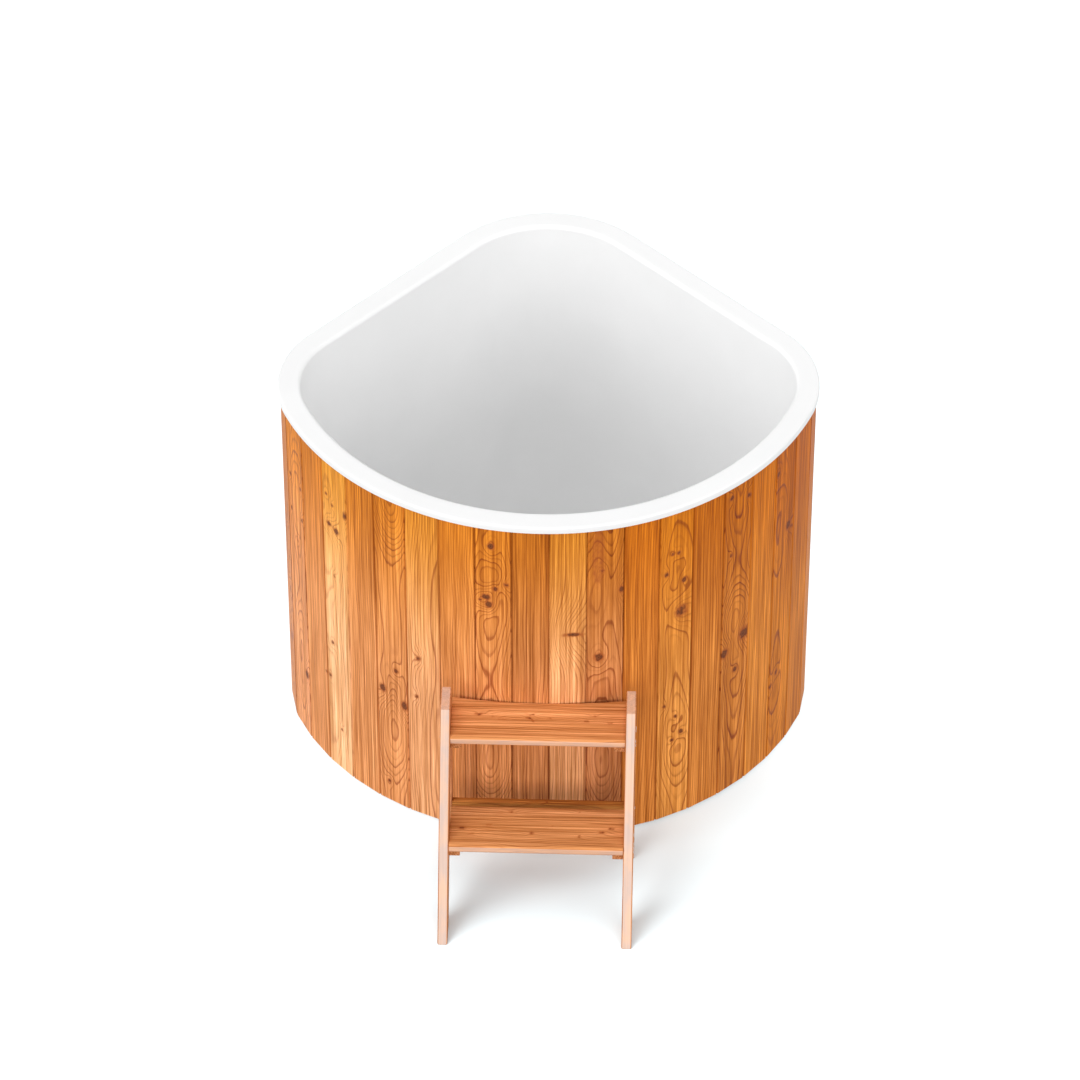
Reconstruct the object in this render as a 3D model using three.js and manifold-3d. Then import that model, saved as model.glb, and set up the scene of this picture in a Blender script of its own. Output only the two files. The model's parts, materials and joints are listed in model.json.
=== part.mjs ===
// A corner plunge tub: a white one-piece liner with a rolled rim, set in a drum of upright
// tongue-and-groove boards, with a floor drain at the back and a two-step ladder in front.
// Millimetres, +Z up. The origin is on the floor, under the centre of the front arc.
// The ladder side faces -Y, and the rounded rear corner points to +Y.
import * as THREE from 'three';
import { mergeVertices } from 'three/addons/utils/BufferGeometryUtils.js';
import Module from 'manifold-3d';

const wasm = await Module();
wasm.setup();

// Fits
const CLEARANCE = 0.3; // between pieces that touch
const RUNNING_CLEARANCE = 0.4; // round the turning parts of the valve

// Plan of the rim: a wide front arc, two straight rear sides at right angles, three round corners
const FRONT_RADIUS = 656;
const CORNER_SETBACK = 562.5; // from the front arc's centre back to the sharp rear corner
const REAR_CORNER_RADIUS = 286;
const SIDE_CORNER_RADIUS = 243;
const HEIGHT = 1000;

// Liner
const LINER_WALL = 5;
const FLANGE_WIDTH = 53; // rim edge to the inside wall, measured at the top
const FLANGE_INNER_ROUND = 9;
const LIP_HEIGHT = 16;
const LIP_WALL = 4;
const LIP_GAP = 1; // between the lip and the boards behind it
const LIP_ROUND = 4;
const DRAFT = THREE.MathUtils.degToRad(3.5);
const FLOOR_FILLET = 36;

// Base
const BEARER_HEIGHT = 45;
const BEARER_WIDTH = 70;
const FRONT_BEARER_INSET = 226; // from the front of the rim back to the front bearer's middle
const REAR_BEARER_Y = 290;
const REAR_BEARER_GAP = 90; // clear width between the two rear bearers, where the drain runs
const BEARER_END_GAP = 3;
const FLOOR_PANEL_THICKNESS = 15;
const FLOOR_FOAM_THICKNESS = 18;

// Ribs that the boards are fixed to, with the heights of their top faces
const RIB_THICKNESS = 18;
const LOWER_RIB_HEIGHT = 360;
const UPPER_RIB_HEIGHT = 680;

// Cladding boards
const BOARD_COUNT = 41;
const BOARD_THICKNESS = 18;
const BOARD_GROUND_GAP = 8;
const JOINT_GAP = 0.6;
const JOINT_CHAMFER = 2.5;
const TONGUE_START = 6.5; // depth of the tongue behind the show face
const TONGUE_THICKNESS = 5;
const TONGUE_LENGTH = 6;
const SINGLE_BOARDS_PER_SIDE = 12;
const REAR_SIDE_BOARDS = 6;

// Floor drain
const DRAIN_AXIS_HEIGHT = 24;
const DRAIN_HOLE_RADIUS = 31;
const STRAINER_RADIUS = 45;
const STRAINER_THICKNESS = 3;
const STRAINER_NECK_LENGTH = 22;
const STRAINER_NECK_RADIUS = 29;
const STRAINER_WALL = 3;
const STRAINER_SLOTS = 8;
const STRAINER_SLOT_WIDTH = 6;
const STRAINER_SLOT_INNER = 8;
const STRAINER_SLOT_OUTER = 22;
const GASKET_THICKNESS = 2;
const DRAIN_FLANGE_RADIUS = 52;
const DRAIN_FLANGE_THICKNESS = 5;
const CUP_WALL = 4;
const CUP_FLOOR = 4;
const CUP_GROUND_GAP = 4;
const SOCKET_LENGTH = 24;
const SOCKET_WALL = 3.7;
const SOCKET_ENGAGEMENT = 18;
const PIPE_RADIUS = 16;
const PIPE_WALL = 3;
const PIPE_STUB = 12; // pipe showing between the cladding and the valve
const PIPE_NOTCH_CLEARANCE = 1.5;

// Ball valve
const VALVE_SOCKET_WALL = 4.5;
const VALVE_SOCKET_LENGTH = 20;
const VALVE_ENGAGEMENT = 15;
const BALL_RADIUS = 18;
const BALL_BORE_RADIUS = 12;
const VALVE_CHAMBER_WALL = 4;
const VALVE_CAP_LENGTH = 14;
const VALVE_CAP_RIM = 3;
const HEXAGON = 6;
const OUTLET_RADIUS = 16;
const OUTLET_LENGTH = 18;
const STEM_RADIUS = 5;
const STEM_BOSS_RADIUS = 10;
const STEM_BOSS_HEIGHT = 10; // above the chamber
const STEM_TOP = 8; // above the boss
const STEM_BLADE_WIDTH = 4;
const STEM_BLADE_DEPTH = 3.5;
const LEVER_THICKNESS = 4;
const LEVER_EYE_RADIUS = 11;
const LEVER_LENGTH = 72;
const LEVER_WIDTH = 14;

// Ladder, measured back from the tub's front face
const LADDER_TURN = THREE.MathUtils.degToRad(-2); // round the front arc's centre
const LADDER_WIDTH = 448;
const LADDER_SLOPE = THREE.MathUtils.degToRad(62.5);
const FOOT_REACH = 351;
const STRINGER_THICKNESS = 23;
const STRINGER_WIDTH = 67;
const STRINGER_TOP = 505;
const STRINGER_EDGE = 2;
const REAR_LEG_WIDTH = 50;
const REAR_LEG_WALL_GAP = 10; // at least
const TREAD_THICKNESS = 24;
const TREAD_NOSE_ROUND = 8;
const UPPER_STEP = 446;
const UPPER_TREAD_REACH = 119;
const UPPER_TREAD_WALL_GAP = 0.5;
const UPPER_TREAD_BACK_RADIUS = 1400;
const LOWER_STEP = 220;
const LOWER_TREAD_REACH = 244;
const LOWER_TREAD_FRONT_DEPTH = 100;
const LOWER_TREAD_BACK_DEPTH = 28;
const TREAD_JOINT_GAP = 0.6;
const REAR_SLAT_TOP = 178;
const REAR_SLAT_DEPTH = 16;
const CLEAT_WIDTH = 25;
const CLEAT_HEIGHT = 25;
const CLEAT_NOSE_SETBACK = 16;
const CLEAT_WALL_SETBACK = 20; // of the upper cleats

// Facets
const FRONT_ARC_STEPS = 15; // on each half of the front arc
const SIDE_CORNER_STEPS = 9;
const REAR_CORNER_STEPS = 12;
const FILLET_STEPS = 5;
const ROUND_STEPS = 4;
const SCRIBE_STEPS = 8;
const PIPE_SEGMENTS = 24;
const CUP_SEGMENTS = 32;
const BALL_RINGS = 12;

const paint = {
  liner: { color: '#f4f5f4', roughness: 0.25, metalness: 0 },
  cladding: { color: '#b9713a', roughness: 0.55, metalness: 0 },
  ladder: { color: '#c98552', roughness: 0.55, metalness: 0 },
  frame: { color: '#c9a877', roughness: 0.8, metalness: 0 },
  bearer: { color: '#8d8560', roughness: 0.85, metalness: 0 },
  foam: { color: '#d9e3ea', roughness: 0.9, metalness: 0 },
  drain: { color: '#e9e9e6', roughness: 0.4, metalness: 0 },
  gasket: { color: '#222222', roughness: 0.8, metalness: 0 },
  brass: { color: '#b99a55', roughness: 0.35, metalness: 1 },
  steel: { color: '#c7c9cb', roughness: 0.25, metalness: 1 },
  grip: { color: '#b4262a', roughness: 0.5, metalness: 0 },
};

// Levels that follow from the stack of the base
const floorPanelBottom = BEARER_HEIGHT + CLEARANCE;
const floorPanelTop = floorPanelBottom + FLOOR_PANEL_THICKNESS;
const foamBottom = floorPanelTop + CLEARANCE;
const linerUnderside = foamBottom + FLOOR_FOAM_THICKNESS + CLEARANCE;
const linerFloor = linerUnderside + LINER_WALL;
const flangeUnderside = HEIGHT - LINER_WALL;
const boardTop = flangeUnderside - CLEARANCE;
const topRibTop = flangeUnderside - CLEARANCE;
const rimOverhang = LIP_WALL + LIP_GAP;

// Centres of the plan's round corners
const rearCentre = new THREE.Vector2(0, CORNER_SETBACK - REAR_CORNER_RADIUS * Math.SQRT2);
const sideAlong = CORNER_SETBACK / Math.SQRT2 - SIDE_CORNER_RADIUS;
const sideAcross = Math.sqrt((FRONT_RADIUS - SIDE_CORNER_RADIUS) ** 2 - sideAlong ** 2);
const sideCentre = new THREE.Vector2(sideAlong + sideAcross, sideAlong - sideAcross).divideScalar(Math.SQRT2);
const sideAngle = sideCentre.angle() > Math.PI ? sideCentre.angle() - 2 * Math.PI : sideCentre.angle();

const QUARTER = Math.PI / 2;
const HALF_QUARTER = QUARTER / 2;
const frontCentre = new THREE.Vector2();
const planArcs = [
  planArc(frontCentre, FRONT_RADIUS, -QUARTER, sideAngle, FRONT_ARC_STEPS),
  planArc(sideCentre, SIDE_CORNER_RADIUS, sideAngle, HALF_QUARTER, SIDE_CORNER_STEPS),
  planArc(rearCentre, REAR_CORNER_RADIUS, HALF_QUARTER, Math.PI - HALF_QUARTER, REAR_CORNER_STEPS),
];
for (const arc of [planArcs[1], planArcs[0]]) {
  const mirrored = new THREE.Vector2(-arc.centre.x, arc.centre.y);
  planArcs.push({ ...arc, centre: mirrored, from: Math.PI - arc.to, to: Math.PI - arc.from });
}

function planArc(centre, radius, from, to, steps) {
  return { centre, radius, from, to, steps };
}

// The plan as a closed path, anticlockwise from the middle of the front
function planPath(offset) {
  const path = new THREE.Path();
  for (const { centre, radius, from, to } of planArcs) {
    path.absarc(centre.x, centre.y, radius - offset, from, to, false);
  }
  return path;
}

// The plan as corner points, the same count at every offset
function planRing(offset) {
  const points = [];
  for (const { centre, radius, from, to, steps } of planArcs) {
    for (const point of arcPoints(centre.x, centre.y, radius - offset, from, to, steps)) {
      const last = points.at(-1);
      if (!last || last.distanceTo(point) > CLEARANCE / 10) points.push(point);
    }
  }
  points.pop();
  return points;
}

function arcPoints(x, y, radius, from, to, steps) {
  const points = [];
  for (let i = 0; i <= steps; i += 1) {
    const angle = from + ((to - from) * i) / steps;
    points.push(new THREE.Vector2(x + radius * Math.cos(angle), y + radius * Math.sin(angle)));
  }
  return points;
}

// Solids
function toSolid(geometry) {
  const bare = geometry.clone();
  bare.deleteAttribute('normal');
  bare.deleteAttribute('uv');
  const merged = mergeVertices(bare, 1e-4);
  const vertProperties = new Float32Array(merged.getAttribute('position').array);
  const triVerts = new Uint32Array(merged.getIndex().array);
  return new wasm.Manifold(new wasm.Mesh({ numProp: 3, vertProperties, triVerts }));
}

function toGeometry(solid) {
  const { vertProperties, triVerts } = solid.getMesh();
  const geometry = new THREE.BufferGeometry();
  geometry.setAttribute('position', new THREE.BufferAttribute(vertProperties, 3));
  geometry.setIndex(new THREE.BufferAttribute(triVerts, 1));
  return geometry;
}

function join(first, ...others) {
  return toGeometry(others.reduce((solid, other) => solid.add(toSolid(other)), toSolid(first)));
}

function cut(first, ...others) {
  return toGeometry(others.reduce((solid, other) => solid.subtract(toSolid(other)), toSolid(first)));
}

function common(first, second) {
  return toGeometry(toSolid(first).intersect(toSolid(second)));
}

function box(x0, x1, y0, y1, z0, z1) {
  const geometry = new THREE.BoxGeometry(x1 - x0, y1 - y0, z1 - z0);
  return geometry.translate((x0 + x1) / 2, (y0 + y1) / 2, (z0 + z1) / 2);
}

function upright(points, z0, z1, hole) {
  const shape = new THREE.Shape(points);
  if (hole) shape.holes.push(new THREE.Path(hole));
  return new THREE.ExtrudeGeometry(shape, { depth: z1 - z0, bevelEnabled: false }).translate(0, 0, z0);
}

// A turned solid about +Z. The profile holds [radius, height] pairs and closes on itself.
function turned(profile, segments) {
  const points = [...profile, profile[0]].map(([r, z]) => new THREE.Vector2(r, z));
  return new THREE.LatheGeometry(points, segments).rotateX(QUARTER);
}

function cylinder(radius, z0, z1, segments = PIPE_SEGMENTS) {
  const geometry = new THREE.CylinderGeometry(radius, radius, z1 - z0, segments);
  return geometry.rotateX(QUARTER).translate(0, 0, (z0 + z1) / 2);
}

// Turns a solid about +Z into one about +Y
function along(geometry) {
  return geometry.rotateX(-QUARTER);
}

const tub = new THREE.Group();

function addPiece(group, name, geometry, finish) {
  const mesh = new THREE.Mesh(geometry, new THREE.MeshStandardMaterial(paint[finish]));
  mesh.name = name;
  group.add(mesh);
  return mesh;
}

// Liner wall: how far in from the rim its two faces are at a height
function linerInside(z) {
  return FLANGE_WIDTH + (HEIGHT - z) * Math.tan(DRAFT);
}

function linerOutside(z) {
  return linerInside(z) - LINER_WALL / Math.cos(DRAFT);
}

const flangeRoundCentre = FLANGE_WIDTH - (FLANGE_INNER_ROUND * (1 - Math.sin(DRAFT))) / Math.cos(DRAFT);
const filletCentreHeight = linerFloor + FLOOR_FILLET;
const filletCentre =
  FLANGE_WIDTH + (FLOOR_FILLET + (HEIGHT - filletCentreHeight) * Math.sin(DRAFT)) / Math.cos(DRAFT);

// The liner's section as [distance in from the rim, height], from the underside of the floor, up
// the outside, over the lip and the flange, and down the inside to the floor
function linerSection() {
  const roundHeight = HEIGHT - FLANGE_INNER_ROUND;
  const underRound = FLANGE_INNER_ROUND - LINER_WALL;
  const wallAngle = Math.PI + DRAFT;
  const down = 3 * QUARTER;
  const lipBottom = HEIGHT - LIP_HEIGHT;
  return [
    ...arcPoints(filletCentre, filletCentreHeight, FLOOR_FILLET + LINER_WALL, down, wallAngle, FILLET_STEPS),
    ...arcPoints(flangeRoundCentre, roundHeight, underRound, DRAFT, QUARTER, ROUND_STEPS),
    new THREE.Vector2(LIP_WALL, flangeUnderside),
    new THREE.Vector2(LIP_WALL, lipBottom),
    new THREE.Vector2(0, lipBottom),
    ...arcPoints(LIP_ROUND, HEIGHT - LIP_ROUND, LIP_ROUND, Math.PI, QUARTER, ROUND_STEPS),
    ...arcPoints(flangeRoundCentre, roundHeight, FLANGE_INNER_ROUND, QUARTER, DRAFT, ROUND_STEPS),
    ...arcPoints(filletCentre, filletCentreHeight, FLOOR_FILLET, wallAngle, down, FILLET_STEPS),
  ];
}

// Sweeps an open section round the plan and closes both ends with flat floors
function sweptVessel(section) {
  const rings = section.map(({ x, y }) => planRing(x).map((p) => [p.x, p.y, y]));
  const count = rings[0].length;
  const corners = rings.flat(2);
  const faces = [];
  for (let level = 0; level + 1 < rings.length; level += 1) {
    for (let i = 0; i < count; i += 1) {
      const next = (i + 1) % count;
      const low = level * count;
      const high = low + count;
      faces.push(low + i, low + next, high + next, low + i, high + next, high + i);
    }
  }
  const top = (rings.length - 1) * count;
  for (let i = 1; i + 1 < count; i += 1) {
    faces.push(0, i + 1, i);
    faces.push(top, top + i, top + i + 1);
  }
  const geometry = new THREE.BufferGeometry();
  geometry.setAttribute('position', new THREE.Float32BufferAttribute(corners, 3));
  geometry.setIndex(faces);
  return geometry;
}

function buildLiner() {
  const below = linerUnderside - LINER_WALL;
  const drainHole = cylinder(DRAIN_HOLE_RADIUS, below, linerFloor + LINER_WALL, CUP_SEGMENTS);
  drainHole.translate(rearCentre.x, rearCentre.y, 0);
  addPiece(tub, 'liner', cut(sweptVessel(linerSection()), drainHole), 'liner');
}

// Cladding joints, counted anticlockwise from the middle of the front
const boardPath = planPath(rimOverhang);
const joints = [];
for (let k = 0; k < BOARD_COUNT; k += 1) {
  joints.push({ point: boardPath.getPoint(k / BOARD_COUNT) });
}
joints.forEach((joint, k) => {
  const before = joints.at(k - 1).point;
  const after = joints[(k + 1) % BOARD_COUNT].point;
  joint.back = new THREE.Vector2().subVectors(joint.point, before).normalize();
  joint.ahead = new THREE.Vector2().subVectors(after, joint.point).normalize();
  joint.tangent = new THREE.Vector2().addVectors(joint.back, joint.ahead).normalize();
  joint.inward = new THREE.Vector2(-joint.tangent.y, joint.tangent.x);
  joint.spread = 1 / joint.back.dot(joint.tangent);
});

function jointAt(k) {
  return joints[((k % BOARD_COUNT) + BOARD_COUNT) % BOARD_COUNT];
}

// A point at a joint, by its distance along the wall and its depth behind the show face
function atJoint(joint, run, depth) {
  return joint.point
    .clone()
    .addScaledVector(joint.tangent, run)
    .addScaledVector(joint.inward, depth * joint.spread);
}

function onFace(joint, direction, run) {
  return joint.point.clone().addScaledVector(direction, run);
}

const halfGap = JOINT_GAP / 2;
const tongueEnd = TONGUE_START + TONGUE_THICKNESS;

// Tongue edge from the show face to the back
function tongueEdge(joint) {
  return [
    onFace(joint, joint.back, -halfGap - JOINT_CHAMFER),
    atJoint(joint, -halfGap, JOINT_CHAMFER),
    atJoint(joint, -halfGap, TONGUE_START),
    atJoint(joint, TONGUE_LENGTH, TONGUE_START),
    atJoint(joint, TONGUE_LENGTH, tongueEnd),
    atJoint(joint, -halfGap, tongueEnd),
    atJoint(joint, -halfGap, BOARD_THICKNESS),
  ];
}

// Groove edge from the show face to the back
function grooveEdge(joint) {
  const floor = TONGUE_LENGTH + JOINT_GAP;
  return [
    onFace(joint, joint.ahead, halfGap + JOINT_CHAMFER),
    atJoint(joint, halfGap, JOINT_CHAMFER),
    atJoint(joint, halfGap, TONGUE_START - CLEARANCE),
    atJoint(joint, floor, TONGUE_START - CLEARANCE),
    atJoint(joint, floor, tongueEnd + CLEARANCE),
    atJoint(joint, halfGap, tongueEnd + CLEARANCE),
    atJoint(joint, halfGap, BOARD_THICKNESS),
  ];
}

// Section of the boards between two joints. Boards in one panel are glued, with a V at each joint.
function boardSection(first, last) {
  const outside = [];
  const inside = [];
  for (let k = first + 1; k < last; k += 1) {
    const joint = jointAt(k);
    outside.push(onFace(joint, joint.back, -JOINT_CHAMFER));
    outside.push(atJoint(joint, 0, JOINT_CHAMFER));
    outside.push(onFace(joint, joint.ahead, JOINT_CHAMFER));
    inside.unshift(atJoint(joint, 0, BOARD_THICKNESS));
  }
  const groove = grooveEdge(jointAt(first));
  return [groove[0], ...outside, ...tongueEdge(jointAt(last)), ...inside, ...groove.slice(1).reverse()];
}

function boards(first, last) {
  return upright(boardSection(first, last), BOARD_GROUND_GAP, boardTop);
}

// Flat outer face of the board at the rear corner, where the drain pipe comes out
const rearJoint = Math.floor(BOARD_COUNT / 2);
const rearFaceY = jointAt(rearJoint).point.y;

function buildCladding() {
  for (let k = 0; k < SINGLE_BOARDS_PER_SIDE; k += 1) {
    const number = String(k + 1).padStart(2, '0');
    addPiece(tub, `board_right_${number}`, boards(k, k + 1), 'cladding');
    addPiece(tub, `board_left_${number}`, boards(-k - 1, -k), 'cladding');
  }
  const rightEnd = SINGLE_BOARDS_PER_SIDE + REAR_SIDE_BOARDS;
  const leftStart = BOARD_COUNT - rightEnd;
  addPiece(tub, 'rear_right_panel', boards(SINGLE_BOARDS_PER_SIDE, rightEnd), 'cladding');
  addPiece(tub, 'rear_left_panel', boards(leftStart, BOARD_COUNT - SINGLE_BOARDS_PER_SIDE), 'cladding');
  const notchRadius = PIPE_RADIUS + PIPE_NOTCH_CLEARANCE;
  const notchStart = rearFaceY - 2 * BOARD_THICKNESS;
  const notchEnd = rearFaceY + BOARD_THICKNESS;
  const arch = along(cylinder(notchRadius, notchStart, notchEnd)).translate(0, 0, DRAIN_AXIS_HEIGHT);
  const slot = box(-notchRadius, notchRadius, notchStart, notchEnd, 0, DRAIN_AXIS_HEIGHT);
  addPiece(tub, 'rear_corner_panel', cut(boards(rightEnd, leftStart), arch, slot), 'cladding');
}

// Inside of the cladding, as a polygon that clears the boards' backs
function innerPlan() {
  return joints.map((joint) => atJoint(joint, 0, BOARD_THICKNESS + CLEARANCE));
}

function buildRibs() {
  const outline = innerPlan();
  const rib = (name, top, inset) =>
    addPiece(tub, name, upright(outline, top - RIB_THICKNESS, top, planRing(inset - CLEARANCE)), 'frame');
  rib('lower_rib', LOWER_RIB_HEIGHT, linerOutside(LOWER_RIB_HEIGHT));
  rib('upper_rib', UPPER_RIB_HEIGHT, linerOutside(UPPER_RIB_HEIGHT));
  rib('top_rib', topRibTop, flangeRoundCentre);
}

// Half the clear width inside the cladding over a strip of the plan
function halfWidth(y0, y1) {
  const outline = innerPlan();
  const reach = (y) => {
    let widest = 0;
    outline.forEach((a, i) => {
      const b = outline[(i + 1) % outline.length];
      if ((a.y - y) * (b.y - y) > 0 || a.y === b.y) return;
      widest = Math.max(widest, Math.abs(a.x + ((b.x - a.x) * (y - a.y)) / (b.y - a.y)));
    });
    return widest;
  };
  return Math.min(reach(y0), reach(y1)) - BEARER_END_GAP;
}

function drainPoints(radius) {
  return arcPoints(rearCentre.x, rearCentre.y, radius, 0, 2 * Math.PI, CUP_SEGMENTS).slice(1);
}

function buildBase() {
  const bearer = (name, y, from, to) => {
    const y0 = y - BEARER_WIDTH / 2;
    addPiece(tub, name, box(from, to, y0, y0 + BEARER_WIDTH, 0, BEARER_HEIGHT), 'bearer');
  };
  const span = (y) => halfWidth(y - BEARER_WIDTH / 2, y + BEARER_WIDTH / 2);
  const frontY = FRONT_BEARER_INSET - FRONT_RADIUS;
  bearer('bearer_front', frontY, -span(frontY), span(frontY));
  bearer('bearer_middle', 0, -span(0), span(0));
  bearer('bearer_rear_left', REAR_BEARER_Y, -span(REAR_BEARER_Y), -REAR_BEARER_GAP / 2);
  bearer('bearer_rear_right', REAR_BEARER_Y, REAR_BEARER_GAP / 2, span(REAR_BEARER_Y));
  const panelHole = drainPoints(cupRadius + CLEARANCE);
  addPiece(tub, 'floor_panel', upright(innerPlan(), floorPanelBottom, floorPanelTop, panelHole), 'frame');
  const foamHole = drainPoints(DRAIN_FLANGE_RADIUS + CLEARANCE);
  const foamTop = foamBottom + FLOOR_FOAM_THICKNESS;
  addPiece(tub, 'floor_foam', upright(planRing(filletCentre), foamBottom, foamTop, foamHole), 'foam');
}

// Floor drain, turned about the vertical through the rear corner's centre
const cupBore = STRAINER_NECK_RADIUS + CLEARANCE;
const cupRadius = cupBore + CUP_WALL;
const socketRadius = PIPE_RADIUS + CLEARANCE + SOCKET_WALL;
const socketEnd = cupRadius + SOCKET_LENGTH;
const pipeStart = socketEnd - SOCKET_ENGAGEMENT + CLEARANCE;

function buildDrain() {
  const place = (geometry) => geometry.translate(rearCentre.x, rearCentre.y, 0);
  const gasketTop = linerUnderside - CLEARANCE;
  const gasketBottom = gasketTop - GASKET_THICKNESS;
  const flangeTop = gasketBottom - CLEARANCE;
  const flangeBottom = flangeTop - DRAIN_FLANGE_THICKNESS;
  const cupFloor = CUP_GROUND_GAP + CUP_FLOOR;

  const strainerBottom = linerFloor + CLEARANCE;
  const strainerTop = strainerBottom + STRAINER_THICKNESS;
  const neckBottom = strainerTop - STRAINER_NECK_LENGTH;
  const neckBore = STRAINER_NECK_RADIUS - STRAINER_WALL;
  const dish = turned(
    [
      [0, strainerBottom],
      [neckBore, strainerBottom],
      [neckBore, neckBottom],
      [STRAINER_NECK_RADIUS, neckBottom],
      [STRAINER_NECK_RADIUS, strainerBottom],
      [STRAINER_RADIUS, strainerBottom],
      [STRAINER_RADIUS - STRAINER_THICKNESS, strainerTop],
      [0, strainerTop],
    ],
    CUP_SEGMENTS,
  );
  const slots = [];
  for (let i = 0; i < STRAINER_SLOTS; i += 1) {
    const half = STRAINER_SLOT_WIDTH / 2;
    const slot = box(STRAINER_SLOT_INNER, STRAINER_SLOT_OUTER, -half, half, neckBottom, strainerTop + half);
    slots.push(slot.rotateZ((2 * Math.PI * i) / STRAINER_SLOTS));
  }
  addPiece(tub, 'drain_strainer', place(cut(dish, ...slots)), 'drain');

  const ring = turned(
    [
      [DRAIN_HOLE_RADIUS, gasketBottom],
      [DRAIN_FLANGE_RADIUS, gasketBottom],
      [DRAIN_FLANGE_RADIUS, gasketTop],
      [DRAIN_HOLE_RADIUS, gasketTop],
    ],
    CUP_SEGMENTS,
  );
  addPiece(tub, 'drain_gasket', place(ring), 'gasket');

  const cup = turned(
    [
      [0, CUP_GROUND_GAP],
      [cupRadius, CUP_GROUND_GAP],
      [cupRadius, flangeBottom],
      [DRAIN_FLANGE_RADIUS, flangeBottom],
      [DRAIN_FLANGE_RADIUS, flangeTop],
      [0, flangeTop],
    ],
    CUP_SEGMENTS,
  );
  const lift = (geometry) => geometry.translate(0, 0, DRAIN_AXIS_HEIGHT);
  const socket = lift(along(cylinder(socketRadius, 0, socketEnd)));
  const cupHollow = cylinder(cupBore, cupFloor, flangeTop + CUP_WALL, CUP_SEGMENTS);
  const passage = lift(along(cylinder(PIPE_RADIUS - PIPE_WALL, 0, socketEnd)));
  const seatStart = socketEnd - SOCKET_ENGAGEMENT;
  const seat = lift(along(cylinder(PIPE_RADIUS + CLEARANCE, seatStart, socketEnd + CUP_WALL)));
  addPiece(tub, 'drain_body', place(cut(join(cup, socket), cupHollow, passage, seat)), 'drain');

  const pipeLength = valveStart + VALVE_ENGAGEMENT - CLEARANCE - rearCentre.y;
  const pipe = turned(
    [
      [PIPE_RADIUS - PIPE_WALL, pipeStart],
      [PIPE_RADIUS, pipeStart],
      [PIPE_RADIUS, pipeLength],
      [PIPE_RADIUS - PIPE_WALL, pipeLength],
    ],
    PIPE_SEGMENTS,
  );
  addPiece(tub, 'drain_pipe', place(lift(along(pipe))), 'drain');
}

// Ball valve, turned about the drain axis behind the cladding
const valveStart = rearFaceY + PIPE_STUB;
const ballCavity = BALL_RADIUS + RUNNING_CLEARANCE;
const chamberRadius = ballCavity + VALVE_CHAMBER_WALL;
const chamberStart = VALVE_SOCKET_LENGTH;
const ballCentre = chamberStart + ballCavity;
const chamberEnd = ballCentre + ballCavity + VALVE_CAP_LENGTH / 2;
const bossTop = chamberRadius + STEM_BOSS_HEIGHT;

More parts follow.
